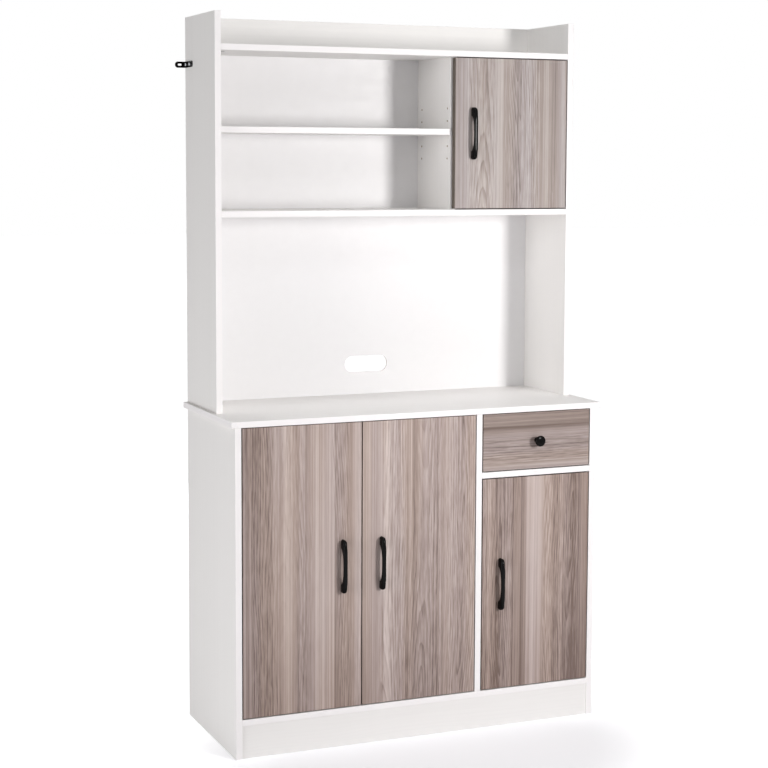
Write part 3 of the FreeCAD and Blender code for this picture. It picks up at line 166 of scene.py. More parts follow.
class Graph:
    """Adds nodes to one tree; the short methods give an output of the node that they add."""

    def __init__(self, tree):
        self.tree = tree

    def feed(self, socket, value):
        if isinstance(value, bpy.types.NodeSocket):
            self.tree.links.new(value, socket)
        else:
            socket.default_value = value

    def node(self, kind, inputs=None, **settings):
        """A node with its inputs by name or number and its settings by name."""
        made = self.tree.nodes.new(kind)
        for name, value in settings.items():
            setattr(made, name, value)
        for name, value in (inputs or {}).items():
            self.feed(made.inputs[name], value)
        return made

    def math(self, operation, *values):
        return self.node("ShaderNodeMath", dict(enumerate(values)), operation=operation).outputs[0]

    def plus(self, first, second):
        return self.math("ADD", first, second)

    def minus(self, first, second):
        return self.math("SUBTRACT", first, second)

    def times(self, first, second):
        return self.math("MULTIPLY", first, second)

    def over(self, first, second):
        return self.math("DIVIDE", first, second)

    def times_plus(self, first, second, third):
        return self.math("MULTIPLY_ADD", first, second, third)

    def remap(self, number, low, high, out_low=0.0, out_high=1.0, smooth=False):
        way = "SMOOTHSTEP" if smooth else "LINEAR"
        inputs = {"Value": number, "From Min": low, "From Max": high, "To Min": out_low, "To Max": out_high}
        return self.node("ShaderNodeMapRange", inputs, interpolation_type=way).outputs[0]

    def step(self, number, low, high):
        """A smooth step from 0 to 1."""
        return self.remap(number, low, high, smooth=True)

    def vector(self, x=0.0, y=0.0, z=0.0):
        return self.node("ShaderNodeCombineXYZ", {0: x, 1: y, 2: z}).outputs[0]

    def parts(self, vector):
        return self.node("ShaderNodeSeparateXYZ", {0: vector}).outputs

    def vector_math(self, operation, *values):
        return self.node("ShaderNodeVectorMath", dict(enumerate(values)), operation=operation).outputs

    def scaled(self, vector, *factors):
        return self.vector_math("MULTIPLY", vector, factors)[0]

    def noise(self, vector, scale, detail=2.0, roughness=0.5):
        inputs = {"Vector": vector, "Scale": scale, "Detail": detail, "Roughness": roughness}
        return self.node("ShaderNodeTexNoise", inputs).outputs[0]

    def mix(self, share, first, second, blend="MIX"):
        inputs = {0: share, 6: first, 7: second}
        return self.node("ShaderNodeMix", inputs, data_type="RGBA", blend_type=blend).outputs[2]

    def group(self, tree, inputs):
        return self.node("ShaderNodeGroup", inputs, node_tree=tree).outputs


def rgba(colour, factor=1.0):
    return (*(min(1.0, share * factor) for share in colour), 1.0)


def new_tree(name, kind, inputs, outputs):
    """A node group with its sockets, given as (name, socket type, default); outputs have no default."""
    tree = bpy.data.node_groups.new(name, kind)
    for label, socket, *default in inputs:
        made = tree.interface.new_socket(label, in_out="INPUT", socket_type=socket)
        if default:
            made.default_value = default[0]
    for label, socket in outputs:
        tree.interface.new_socket(label, in_out="OUTPUT", socket_type=socket)
    graph = Graph(tree)
    return graph, graph.node("NodeGroupInput").outputs, graph.node("NodeGroupOutput").inputs


# Cycles in a metre of each noise of the wood print, across its grain and along it
PRINT_NOISES = {
    "figured": (13.0, 0.3), "sway": (3.0, 1.5), "ripple": (26.0, 3.2), "fine lines": (430.0, 1.1),
    "medium lines": (170.0, 0.35), "broad bands": (14.0, 0.22), "narrow bands": (52.0, 0.4),
    "pores": (620.0, 24.0), "flecks": (210.0, 15.0), "warmth": (17.0, 0.5),
}
# Lowest and highest usual value of the wood print's output "Lines"
LINE_RANGE = (-0.2, 0.2)
OAK_RINGS, LAMINATE_RINGS = 6.2 * MM, 9 * MM


def wood_print():
    """Shader group for printed wood: x of the vector runs across the grain and y along it, in metres.

    Quiet bands of straight fine lines alternate with bands of arched figure, flecks and pores. The arches are
    slices through rings round a core in each strip of the board, which comes near the face and falls back.
    """
    name = "Wood print"
    if name in bpy.data.node_groups:
        return bpy.data.node_groups[name]
    graph, given, out = new_tree(name, "ShaderNodeTree", [
        ("Vector", "NodeSocketVector"),
        ("Strip Width", "NodeSocketFloat", 105 * MM),
        ("Ring Width", "NodeSocketFloat", OAK_RINGS),
        ("Waviness", "NodeSocketFloat", 12 * MM),
    ], [(label, "NodeSocketFloat") for label in ("Figure", "Lines", "Tone", "Pores", "Flecks", "Warmth")])
    across, along, _ = graph.parts(given["Vector"])

    def noise(kind, detail=1.0, roughness=0.5):
        return graph.noise(graph.scaled(given["Vector"], *PRINT_NOISES[kind], 1.0), 1.0, detail, roughness)

    figured = graph.step(noise("figured"), 0.44, 0.56)
    strips = graph.over(graph.times_plus(noise("sway"), 0.07, across), given["Strip Width"])
    lateral = graph.times(graph.minus(graph.math("FRACT", strips), 0.5), given["Strip Width"])
    strip = {"W": graph.math("FLOOR", strips)}
    chance = graph.node("ShaderNodeTexWhiteNoise", strip, noise_dimensions="1D").outputs["Color"]
    first, second, third = graph.parts(chance)
    swing = graph.math("SINE", graph.times_plus(first, 6.3, graph.times(along, 3.6)))
    depth = graph.times(swing, graph.times_plus(second, 0.026, 0.012))
    ripple = graph.times(graph.minus(noise("ripple", 3.0, 0.55), 0.5), given["Waviness"])
    reach = graph.math("SQRT", graph.plus(graph.times(lateral, lateral), graph.times(depth, depth)))
    rings = graph.over(graph.plus(reach, ripple), given["Ring Width"])
    phase = graph.math("FRACT", graph.plus(rings, third))
    late = graph.times(graph.math("POWER", phase, 2.2), graph.remap(phase, 0.9, 1.0, 1.0, 0.0, True))
    graph.feed(out["Figure"], graph.times(late, figured))

    lines = graph.plus(graph.times(noise("fine lines"), 0.45), graph.times(noise("medium lines"), 0.55))
    quiet = graph.remap(figured, 0.0, 1.0, 1.0, 0.55)
    graph.feed(out["Lines"], graph.times(graph.minus(lines, 0.5), quiet))
    broad = graph.remap(noise("broad bands"), 0.34, 0.66)
    narrow = graph.remap(noise("narrow bands"), 0.32, 0.68)
    graph.feed(out["Tone"], graph.plus(graph.times(broad, 0.68), graph.times(narrow, 0.32)))
    graph.feed(out["Pores"], graph.times(graph.step(noise("pores"), 0.6, 0.74), figured))
    flecks = graph.remap(noise("flecks", 2.0, 0.6), 0.34, 0.66, -1.0, 1.0)
    graph.feed(out["Flecks"], graph.times(flecks, graph.remap(figured, 0.0, 1.0, 0.25, 1.0)))
    graph.feed(out["Warmth"], graph.step(noise("warmth"), 0.4, 0.6))
    return graph.tree


def surface_wear():
    """Shader group for small unevenness of a finish: its specks, its clouds and its roughness."""
    name = "Surface wear"
    if name in bpy.data.node_groups:
        return bpy.data.node_groups[name]
    graph, given, out = new_tree(name, "ShaderNodeTree", [
        ("Vector", "NodeSocketVector"),
        ("Speck Scale", "NodeSocketFloat", 900.0),
        ("Low", "NodeSocketFloat", 0.2),
        ("High", "NodeSocketFloat", 0.35),
    ], [(label, "NodeSocketFloat") for label in ("Specks", "Roughness", "Clouds")])
    clouds = graph.noise(given["Vector"], 42.0, 3.0)
    graph.feed(out["Specks"], graph.noise(given["Vector"], given["Speck Scale"]))
    graph.feed(out["Clouds"], clouds)
    graph.feed(out["Roughness"], graph.remap(clouds, 0.3, 0.7, given["Low"], given["High"]))
    return graph.tree


# Finishes


def finish(name, make):
    """The material of that name, made once by make(graph, principled shader, the hutch's colours)."""
    if name in bpy.data.materials:
        return bpy.data.materials[name]
    material = bpy.data.materials.new(name)
    material.use_nodes = True
    shader = material.node_tree.nodes["Principled BSDF"]
    make(Graph(material.node_tree), shader, bpy.context.scene.hutch_colours)
    return material


def paint(graph, shader, share, colour, first, second):
    """Base Color between two shades of a colour, each given as a factor."""
    graph.feed(shader.inputs["Base Color"], graph.mix(share, rgba(colour, first), rgba(colour, second)))


def bump(graph, shader, height, strength, distance=0.2 * MM):
    inputs = {"Strength": strength, "Distance": distance, "Height": height}
    graph.feed(shader.inputs["Normal"], graph.node("ShaderNodeBump", inputs).outputs[0])


def board_print(graph, ring_width=OAK_RINGS):
    """The outputs of the wood print on a board's own "grain" map."""
    grain = graph.node("ShaderNodeUVMap", uv_map="grain").outputs[0]
    return graph.group(wood_print(), {"Vector": grain, "Ring Width": ring_width})


def object_place(graph):
    return graph.node("ShaderNodeTexCoord").outputs["Object"]


def white_laminate(name, colour, depth):
    """White melamine with a faint pressed grain."""
    def make(graph, shader, colours):
        printed = board_print(graph, LAMINATE_RINGS)
        share = graph.plus(graph.times_plus(printed["Lines"], 1.6, 0.4), graph.times(printed["Figure"], 0.4))
        paint(graph, shader, share, getattr(colours, colour), 1 + depth, 1 - depth)
        graph.feed(shader.inputs["Roughness"], graph.remap(printed["Lines"], *LINE_RANGE, 0.42, 0.52))
        bump(graph, shader, share, 0.12)
    return finish(name, make)


# How much each output of the wood print darkens the oak
OAK_WEIGHTS = {"Tone": 0.62, "Figure": 0.34, "Lines": 1.25, "Flecks": 0.14, "Pores": 0.2}
# Painted shade: between the first two values, heights in metres, the oak's darkness falls from the third to
# the fourth, so the fronts darken towards the floor as if less light reached their feet
OAK_PAINTED_FOOT_SHADE = (0.08, 0.42, 0.26, 0.12)


def oak_laminate():
    """Grey oak print with cathedral figure, fine lines and pores, and painted shade that darkens it towards
    the floor.
    """
    def make(graph, shader, colours):
        printed = board_print(graph)
        tone = graph.node("ShaderNodeAttribute", attribute_name="tone").outputs["Vector"]
        darkness, coolness, _ = graph.parts(tone)
        height = graph.parts(object_place(graph))[2]
        # painted shade: the print darkens with lower height, standing in for less light near the floor
        share = graph.plus(graph.remap(height, *OAK_PAINTED_FOOT_SHADE, True), darkness)
        for output, weight in OAK_WEIGHTS.items():
            share = graph.times_plus(printed[output], weight, share)
        ramp = graph.node("ShaderNodeValToRGB", {"Fac": share})
        stops = ramp.color_ramp.elements
        stops[0].color = rgba(colours.oak_light)
        stops[1].color = rgba(colours.oak_dark)
        stops[1].position = 0.95
        stops.new(0.45).color = rgba(colours.oak_middle)
        warm = graph.mix(printed["Warmth"], ramp.outputs["Color"], rgba(colours.oak_warmth), "MULTIPLY")
        cool = graph.mix(coolness, warm, rgba(colours.oak_coolness), "MULTIPLY")
        graph.feed(shader.inputs["Base Color"], cool)
        graph.feed(shader.inputs["Roughness"], graph.remap(printed["Lines"], *LINE_RANGE, 0.5, 0.62))
        bump(graph, shader, graph.plus(printed["Pores"], printed["Lines"]), 0.15, -0.15 * MM)
    return finish("Grey oak laminate", make)


def oak_edging():
    """Plain brown edging with a faint line print."""
    def make(graph, shader, colours):
        share = graph.remap(board_print(graph)["Lines"], *LINE_RANGE)
        paint(graph, shader, share, colours.oak_band, 1.15, 0.8)
        shader.inputs["Roughness"].default_value = 0.45
        bump(graph, shader, share, 0.1)
    return finish("Oak edging", make)


def bare_chipboard():
    """Pressed chips, seen in holes, grooves and notches."""
    def make(graph, shader, colours):
        flat = graph.scaled(object_place(graph), 1.0, 1.0, 2.2)
        chips = graph.node("ShaderNodeTexVoronoi", {"Vector": flat, "Scale": 420.0}).outputs
        paint(graph, shader, graph.parts(chips["Color"])[0], colours.chipboard, 0.62, 1.2)
        shader.inputs["Roughness"].default_value = 0.85
        bump(graph, shader, chips["Distance"], 0.4, 0.4 * MM)
    return finish("Chipboard", make)


def bare_back():
    """Bare brown hardboard with pressed fibres."""
    def make(graph, shader, colours):
        place = object_place(graph)
        fibres = graph.noise(graph.scaled(place, 1.0, 1.0, 0.45), 1400.0, 3.0, 0.6)
        share = graph.plus(graph.times(fibres, 0.6), graph.times(graph.noise(place, 9.0, 3.0), 0.4))
        paint(graph, shader, graph.remap(share, 0.3, 0.7), colours.brown_back, 0.78, 1.18)
        shader.inputs["Roughness"].default_value = 0.8
        bump(graph, shader, fibres, 0.3, 0.3 * MM)
    return finish("Bare hardboard", make)


def beech_wood():
    """Pressed beech with short dark flecks."""
    def make(graph, shader, colours):
        place = object_place(graph)
        lines = graph.noise(graph.scaled(place, 1.0, 6.0, 1.0), 160.0)
        share = graph.plus(graph.times(graph.noise(place, 1500.0), 0.5), graph.times(lines, 0.5))
        paint(graph, shader, graph.remap(share, 0.35, 0.65), colours.beech, 1.05, 0.75)
        shader.inputs["Roughness"].default_value = 0.6
        bump(graph, shader, lines, 0.2, 0.3 * MM)
    return finish("Beech", make)


def worn(name, colour, shades, speck_scale, roughness, relief, fixed):
    """A cloudy, faintly speckled finish; fixed holds its even values by socket."""
    def make(graph, shader, colours):
        wear = graph.group(surface_wear(), {"Vector": object_place(graph), "Speck Scale": speck_scale,
                                            "Low": roughness[0], "High": roughness[1]})
        paint(graph, shader, wear["Clouds"], getattr(colours, colour), *shades)
        graph.feed(shader.inputs["Roughness"], wear["Roughness"])
        for socket, value in fixed.items():
            shader.inputs[socket].default_value = value
        if relief:
            bump(graph, shader, wear["Specks"], relief)
    return finish(name, make)


def painted_back():
    """White painted face of a thin back."""
    return worn("Painted hardboard", "white_back", (1.012, 0.988), 700.0, (0.42, 0.5), 0.06, {})


def black_paint():
    """Glossy black coating with a slight orange peel."""
    return worn("Black coating", "black", (0.8, 1.3), 520.0, (0.12, 0.18), 0.05,
                {"Specular IOR Level": 0.08})


def clear_rubber():
    """Soft clear rubber, a little cloudy."""
    return worn("Clear rubber", "rubber", (0.95, 1.05), 600.0, (0.22, 0.34), 0,
                {"Transmission Weight": 0.55, "IOR": 1.45})


def metal(name, colour, speck_scale, roughness):
    return worn(name, colour, (0.88, 1.08), speck_scale, roughness, 0.12, {"Metallic": 1.0})


def zinc_plate():
    return metal("Zinc plate", "zinc", 1300.0, (0.28, 0.42))


def nickel_plate():
    return metal("Nickel plate", "nickel", 1100.0, (0.18, 0.3))


def cast_metal():
    return metal("Cast zinc", "cast_zinc", 800.0, (0.42, 0.58))


# Pieces


def new_object(name, data):
    """An object, linked into the scene."""
    made = bpy.data.objects.new(name, data)
    bpy.context.scene.collection.objects.link(made)
    return made


def settle(node, data, materials=()):
    """A finished piece: it stands for its CAD node, rides on that node's body and has its finish."""
    for material in materials:
        data.materials.append(material)
    piece = new_object(data.name, data)
    cad = NODES[node]
    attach(piece, body_of(cad)[0])
    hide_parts(node)
    return piece


def settle_shape(node, ending, shape, materials, smooth=False):
    """The same for a bmesh, which is used up; the piece is named for its node and has an ending."""
    for face in shape.faces:
        face.smooth = smooth
    data = bpy.data.meshes.new(node + ending)
    shape.to_mesh(data)
    shape.free()
    return settle(node, data, materials)


def joined(node):
    """A copy of a CAD node's mesh with its loose triangles joined."""
    shape = bmesh.new()
    shape.from_mesh(NODES[node].data)
    bmesh.ops.remove_doubles(shape, verts=shape.verts, dist=SAME_PLACE)
    return shape


def merged(node):
    """The joined mesh with each flat side as one face."""
    shape = joined(node)
    bmesh.ops.dissolve_limit(shape, angle_limit=math.radians(0.4), use_dissolve_boundaries=False,
                             verts=shape.verts, edges=shape.edges)
    return shape


def is_rim(edge, low, high):
    """Whether an edge is an outer edge of a box: both its ends lie on the same two of its sides."""
    sides = [(axis, limit) for axis in range(3) for limit in (low[axis], high[axis])
             if all(abs(corner.co[axis] - limit) < TOUCHING for corner in edge.verts)]
    return len(sides) == 2


SHORTEST_RIM = 2.5 * MM
# How far the print moves from one seed to the next, across and along, in metres
GRAIN_SHIFT = (0.37, 1.13)
FACE, EDGING, CORE = range(3)


def board(node, along, rounding, seed, materials, faced=None, tone=(0.0, 0.0)):
    """A CAD board with rounded outer edges, its grain laid out, and its faces, edging and core told apart.

    materials are the face, the edging and the core; faced picks a face's material by its normal instead;
    tone says how much darker and how much cooler the print of the board is.
    """
    low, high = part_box(node)
    shape = merged(node)
    if rounding > 0:
        rims = [edge for edge in shape.edges if len(edge.link_faces) == 2
                and edge.calc_length() > SHORTEST_RIM and is_rim(edge, low, high)]
        bmesh.ops.bevel(shape, geom=rims, offset=rounding, segments=2, profile=0.5, affect="EDGES",
                        clamp_overlap=True, material=-1)
    thin = min(range(3), key=lambda axis: high[axis] - low[axis])
    run = AXES[along]
    skin = 1.2 * rounding + 2 * TOUCHING
    grain = shape.loops.layers.uv.new("grain")
    toning = shape.verts.layers.float_vector.new("tone")
    for vert in shape.verts:
        vert[toning] = (*tone, 0.0)
    for face in shape.faces:
        middle = face.calc_center_median()
        normal = max(range(3), key=lambda axis: abs(face.normal[axis]))
        if min(middle[normal] - low[normal], high[normal] - middle[normal]) >= skin:
            face.material_index = CORE
        elif faced:
            face.material_index = faced(face.normal)
        else:
            face.material_index = FACE if normal == thin else EDGING
        flat = [axis for axis in range(3) if axis != normal]
        lengthwise = run if run in flat else flat[1]
        side = flat[0] if lengthwise == flat[1] else flat[1]
        for loop in face.loops:
            place = loop.vert.co
            loop[grain].uv = (place[side] + GRAIN_SHIFT[0] * seed, place[lengthwise] + GRAIN_SHIFT[1] * seed)
    return settle_shape(node, "_board", shape, materials)


def sheet_metal(nodes, material, rounding):
    """CAD fittings of sheet metal with the edges of the sheet rounded."""
    for node in nodes:
        piece = settle_shape(node, "_formed", merged(node), [material])
        soften = piece.modifiers.new("Rounded edges", "BEVEL")
        soften.width = rounding
        soften.segments = 2
        soften.limit_method = "ANGLE"
        soften.angle_limit = math.radians(50)
        soften.use_clamp_overlap = True


class Island:
    """One solid of a CAD node: its box, its long axis, and which way its wide end points."""

    def __init__(self, corners):
        self.low = Vector(min(c[axis] for c in corners) for axis in range(3))
        self.high = Vector(max(c[axis] for c in corners) for axis in range(3))
        self.middle = (self.low + self.high) / 2
        size = self.high - self.low
        self.axis = max(range(3), key=lambda axis: size[axis])
        self.length = size[self.axis]
        flat = [axis for axis in range(3) if axis != self.axis]
        widths = [sum((c[axis] - self.middle[axis]) ** 2 for axis in flat) for c in corners]
        wide = [c[self.axis] for c, width in zip(corners, widths) if width > 0.9 * max(widths)]
        self.sign = 1 if sum(wide) / len(wide) > self.middle[self.axis] else -1

    def heading(self):
        """The direction of the wide end."""
        return Vector(self.sign if axis == self.axis else 0 for axis in range(3))


def islands(node):
    """The separate solids of a CAD node."""
    shape = joined(node)
    seen = set()
    found = []
    for start in shape.verts:
        if start in seen:
            continue
        seen.add(start)
        stack, corners = [start], []
        while stack:
            vert = stack.pop()
            corners.append(vert.co.copy())
            for edge in vert.link_edges:
                other = edge.other_vert(vert)
                if other not in seen:
                    seen.add(other)
                    stack.append(other)
        found.append(Island(corners))
    shape.free()
    return found


def turned_tree(name, profile, slots=0):
    """Geometry Nodes for a turned fitting, set on every point of a mesh and turned by its "turn" values.

    profile rows are (share of Head Radius, share of Shank Radius, share of Head Height, share of Length);
    slots is the number of bars in the recess of its head: 1 is a slot and 2 a cross.
    """
    graph, given, out = new_tree(name, "GeometryNodeTree", [
        ("Points", "NodeSocketGeometry"),
        ("Head Radius", "NodeSocketFloat", 3.5 * MM),
        ("Shank Radius", "NodeSocketFloat", 1.8 * MM),
        ("Head Height", "NodeSocketFloat", 2 * MM),
        ("Length", "NodeSocketFloat", 12 * MM),
        ("Steps", "NodeSocketInt", 28),
        ("Flutes", "NodeSocketInt", 0),
        ("Flute Depth", "NodeSocketFloat", 0.0),
        ("Recess Width", "NodeSocketFloat", 0.8 * MM),
        ("Recess Span", "NodeSocketFloat", 3.5 * MM),
        ("Recess Depth", "NodeSocketFloat", 1 * MM),
        ("Material", "NodeSocketMaterial"),
    ], [("Geometry", "NodeSocketGeometry")])
    rows = len(profile)
    grid = graph.node("GeometryNodeMeshGrid", {
        "Size X": 1.0, "Size Y": 1.0, "Vertices X": graph.plus(given["Steps"], 1.0), "Vertices Y": rows})
    index = graph.node("GeometryNodeInputIndex").outputs[0]
    row = graph.math("MODULO", index, float(rows))
    column = graph.math("FLOOR", graph.over(graph.plus(index, 0.5), float(rows)))
    angle = graph.over(graph.times(column, -2 * math.pi), given["Steps"])
    shares = []
    for values in zip(*profile):
        switch = graph.node("GeometryNodeIndexSwitch", data_type="FLOAT")
        while len(switch.index_switch_items) < rows:
            switch.index_switch_items.new()
        graph.feed(switch.inputs["Index"], row)
        for number, value in enumerate(values, start=1):
            switch.inputs[number].default_value = value
        shares.append(switch.outputs[0])
    radius = graph.plus(graph.times(shares[0], given["Head Radius"]),
                        graph.times(shares[1], given["Shank Radius"]))
    wave = graph.math("COSINE", graph.times(angle, given["Flutes"]))
    dip = graph.times(graph.times_plus(wave, -0.5, 0.5), given["Flute Depth"])
    radius = graph.times(radius, graph.minus(1.0, dip))
    height = graph.plus(graph.times(shares[2], given["Head Height"]), graph.times(shares[3], given["Length"]))
    place = graph.vector(graph.times(radius, graph.math("COSINE", angle)),
                         graph.times(radius, graph.math("SINE", angle)), height)
    shaped = graph.node("GeometryNodeSetPosition", {"Geometry": grid.outputs["Mesh"], "Position": place})
    loose = {"Geometry": shaped.outputs[0], "Distance": SAME_PLACE}
    closed = graph.node("GeometryNodeMergeByDistance", loose)
    template = closed.outputs[0]
    bar_sides = (given["Recess Span"], given["Recess Width"])
    for width, depth in (bar_sides, bar_sides[::-1])[:slots]:
        size = graph.vector(width, depth, graph.times(given["Recess Depth"], 2.0))
        bar = graph.node("GeometryNodeMeshCube", {"Size": size}).outputs["Mesh"]
        top = graph.vector(0.0, 0.0, given["Head Height"])
        lifted = graph.node("GeometryNodeTransform", {"Geometry": bar, "Translation": top})
        meshes = {"Mesh 1": template, "Mesh 2": lifted.outputs[0]}
        cutting = graph.node("GeometryNodeMeshBoolean", meshes, operation="DIFFERENCE", solver="EXACT")
        template = cutting.outputs["Mesh"]
    attribute = graph.node("GeometryNodeInputNamedAttribute", {"Name": "turn"}, data_type="FLOAT_VECTOR")
    turned = graph.node("FunctionNodeEulerToRotation", {0: attribute.outputs["Attribute"]})
    spread = graph.node("GeometryNodeInstanceOnPoints", {
        "Points": given["Points"], "Instance": template, "Rotation": turned.outputs[0]})
    solid = graph.node("GeometryNodeRealizeInstances", {"Geometry": spread.outputs[0]})
    finished = graph.node("GeometryNodeSetMaterial", {
        "Geometry": solid.outputs[0], "Material": given["Material"]})
    graph.feed(out["Geometry"], finished.outputs[0])
    return graph.tree


def repeat(node, ending, places, tree, values, material):
    """A piece of like fittings: tree set on every place, each a (point, direction of its head)."""
    points = bpy.data.meshes.new(node + "_places")
    points.from_pydata([tuple(point) for point, _ in places], [], [])
    turns = points.attributes.new("turn", "FLOAT_VECTOR", "POINT")
    for item, (_, direction) in zip(turns.data, places):
        item.vector = direction.to_track_quat("Z", "Y").to_euler()
    carrier = new_object(node + "_carrier", points)
    modifier = carrier.modifiers.new("Fittings", "NODES")
    modifier.node_group = tree
    wanted = {**values, "Material": material, "Steps": bpy.context.scene.hutch_sizes.round_steps}
    for item in tree.interface.items_tree:
        if item.item_type == "SOCKET" and item.in_out == "INPUT" and item.name in wanted:
            modifier[item.identifier] = wanted[item.name]
    seen = carrier.evaluated_get(bpy.context.evaluated_depsgraph_get())
    data = bpy.data.meshes.new_from_object(seen)
    data.name = node + ending
    bpy.data.objects.remove(carrier)
    return settle(node, data)


def centres(solids):
    """The places of fittings that stand at the middles of their solids."""
    return [(solid.middle, solid.heading()) for solid in solids]


def heads(solids, head_height):
    """The places of screws: the face under each head, and the direction of the head."""
    return [(solid.middle + solid.heading() * (solid.length / 2 - head_height), solid.heading())
            for solid in solids]


def head(*rows):
    """Profile rows of a fitting's head, from (share of Head Radius, share of Head Height)."""
    return [(radius, 0, height, 0) for radius, height in rows]


def shank(*rows):
    """Profile rows of a fitting's shank, from (share of Shank Radius, share of Length)."""
    return [(0, radius, 0, length) for radius, length in rows]


def flange(*rows):
    """Profile rows as wide as the head but on the shank, from (share of Head Radius, share of Length)."""
    return [(radius, 0, 0, length) for radius, length in rows]


SCREW_HEAD = head((0, 1), (0.45, 1), (0.72, 0.9), (0.92, 0.62), (1, 0.3), (1, 0))
SCREW_PROFILE = SCREW_HEAD + shank((1, 0), (1, -0.82), (0.3, -0.98), (0, -1))
MACHINE_PROFILE = SCREW_HEAD + shank((1, 0), (1, -0.97), (0.85, -1), (0, -1))
PIN_PROFILE = shank((0, 0.5), (0.82, 0.5), (1, 0.47), (1, 0.03), (0.86, 0.01), (0.86, -0.03), (1, -0.05),
                    (1, -0.47), (0.82, -0.5), (0, -0.5))
DOWEL_PROFILE = shank((0, 0.5), (0.78, 0.5), (1, 0.46), (1, 0.2), (1, -0.2), (1, -0.46), (0.78, -0.5),
                      (0, -0.5))
CAM_BOLT_PROFILE = shank((0, 0.5), (0.7, 0.5), (1, 0.46), (1, 0.4), (0.62, 0.36), (0.62, -0.02), (1, -0.05),
                         (1, -0.16), (0.8, -0.19), (0.98, -0.24), (0.8, -0.29), (0.98, -0.34), (0.8, -0.39),
                         (0.98, -0.44), (0.55, -0.5), (0, -0.5))
CAM_DISC_PROFILE = (head((0, 1), (0.86, 1), (0.9, 0.9), (0.93, 1), (0.98, 1), (1, 0.92), (1, 0))
                    + shank((1, 0), (1, -0.7)) + flange((1, -0.72), (1, -0.97), (0.96, -1), (0, -1)))
DOME_PROFILE = head((0, 1), (0.4, 0.94), (0.72, 0.76), (0.93, 0.45), (1, 0.12), (1, 0), (0, 0))

BOW_STEPS = 18
BOW_COLUMNS = 24
# Further rings where a bow meets its feet, as shares of half the length of its hollow
BOW_FOOT_RINGS = (0.97, 1.0, 0.9, 0.8)
# Share of half a bow's length from which its outer face falls back
BOW_FALL_FROM = 0.55
# Powers in the curve of a bow's hollow, and the squareness of the bow's outer and inner corners
HOLLOW_POWERS = (3.2, 0.55)
OUTER_SQUARENESS, INNER_SQUARENESS = 3.2, 6


def bow_rings(sizes, length, reach):
    """Cross sections of a bow handle from its lower to its upper end: (level, outer, inner, half width)."""
    half = length / 2
    inside = half - sizes.handle_foot_length
    rise = reach - sizes.handle_middle
    corner = sizes.handle_end_round
    cap = sizes.handle_foot / 2
    levels = [half * math.sin(math.pi / 2 * step / BOW_STEPS) for step in range(-BOW_STEPS, BOW_STEPS + 1)]
    levels += [sign * inside * share for sign in (-1, 1) for share in BOW_FOOT_RINGS]
    rings = []
    for level in sorted(set(levels)):
        far = abs(level)
        past = max(0.0, far - (half - corner))
        fall = sizes.handle_fall * max(0.0, (far / half - BOW_FALL_FROM) / (1 - BOW_FALL_FROM)) ** 2
        outer = reach - fall - corner + math.sqrt(max(0.0, corner ** 2 - past ** 2))
        share = min(1.0, far / inside)
        inner = rise * (1 - share ** HOLLOW_POWERS[0]) ** HOLLOW_POWERS[1]
        ease = share * share * (3 - 2 * share)
        width = sizes.handle_waist + (sizes.handle_foot - sizes.handle_waist) * ease
        beyond = max(0.0, far - (half - cap)) / cap
        width *= math.sqrt(max(0.0, 1 - beyond ** 2))
        rings.append((level, outer, inner, max(width / 2, 2 * TOUCHING)))
    return rings


def ring_corner(step, outer, inner, half_width):
    """A corner of a rounded cross section: how far out of the door, and how far across."""
    angle = 2 * math.pi * step / BOW_COLUMNS
    across, out = math.cos(angle), math.sin(angle)
    power = 2 / (OUTER_SQUARENESS if out > 0 else INNER_SQUARENESS)
    middle, half_depth = (outer + inner) / 2, (outer - inner) / 2
    return (middle + half_depth * math.copysign(abs(out) ** power, out),
            half_width * math.copysign(abs(across) ** power, across))


def through_rings(node, ending, places, material):
    """A smooth closed piece through rings of corners, all of one count apart from single points."""
    shape = bmesh.new()
    rings = [[shape.verts.new(place) for place in ring] for ring in places]
    for first, second in zip(rings, rings[1:]):
        count = max(len(first), len(second))
        for step in range(count):
            after = (step + 1) % count
            corners = [first[step % len(first)], first[after % len(first)],
                       second[after % len(second)], second[step % len(second)]]
            shape.faces.new(dict.fromkeys(corners))
    for end in (rings[0][::-1], rings[-1]):
        if len(end) > 1:
            shape.faces.new(end)
    bmesh.ops.recalc_face_normals(shape, faces=shape.faces)
    return settle_shape(node, ending, shape, [material], smooth=True)


def bow_handle(node, material):
    """A cast bow handle with a slim middle and full rounded ends."""
    low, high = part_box(node)
    x, z = (low.x + high.x) / 2, (low.z + high.z) / 2
    places = []
    for level, *section in bow_rings(bpy.context.scene.hutch_sizes, high.z - low.z, high.y - low.y):
        corners = [ring_corner(step, *section) for step in range(BOW_COLUMNS)]
        places.append([(x + across, high.y - out, z + level) for out, across in corners])
    return through_rings(node, "_bow", places, material)


# Profile of the knob: shares of its radius and of its reach out of the drawer front
KNOB_PROFILE = [
    (0, 0), (0.5, 0), (0.52, 0.03), (0.44, 0.1), (0.38, 0.25), (0.38, 0.42), (0.46, 0.53), (0.68, 0.6),
    (0.88, 0.66), (0.97, 0.73), (1.0, 0.8), (0.985, 0.86), (0.93, 0.91), (0.84, 0.95), (0.7, 0.975),
    (0.5, 0.99), (0.25, 0.998), (0, 1.0),
]
KNOB_COLUMNS = 48


def turned_knob(node, material):
    """A knob turned on a lathe, its axis along Y."""
    low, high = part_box(node)
    x, z = (low.x + high.x) / 2, (low.z + high.z) / 2
    places = []
    for share, out in KNOB_PROFILE:
        radius = share * (high.x - low.x) / 2
        angles = [2 * math.pi * step / KNOB_COLUMNS for step in range(KNOB_COLUMNS if radius else 1)]
        y = high.y - out * (high.y - low.y)
        places.append([(x + radius * math.cos(angle), y, z + radius * math.sin(angle)) for angle in angles])
    return through_rings(node, "_turned", places, material)


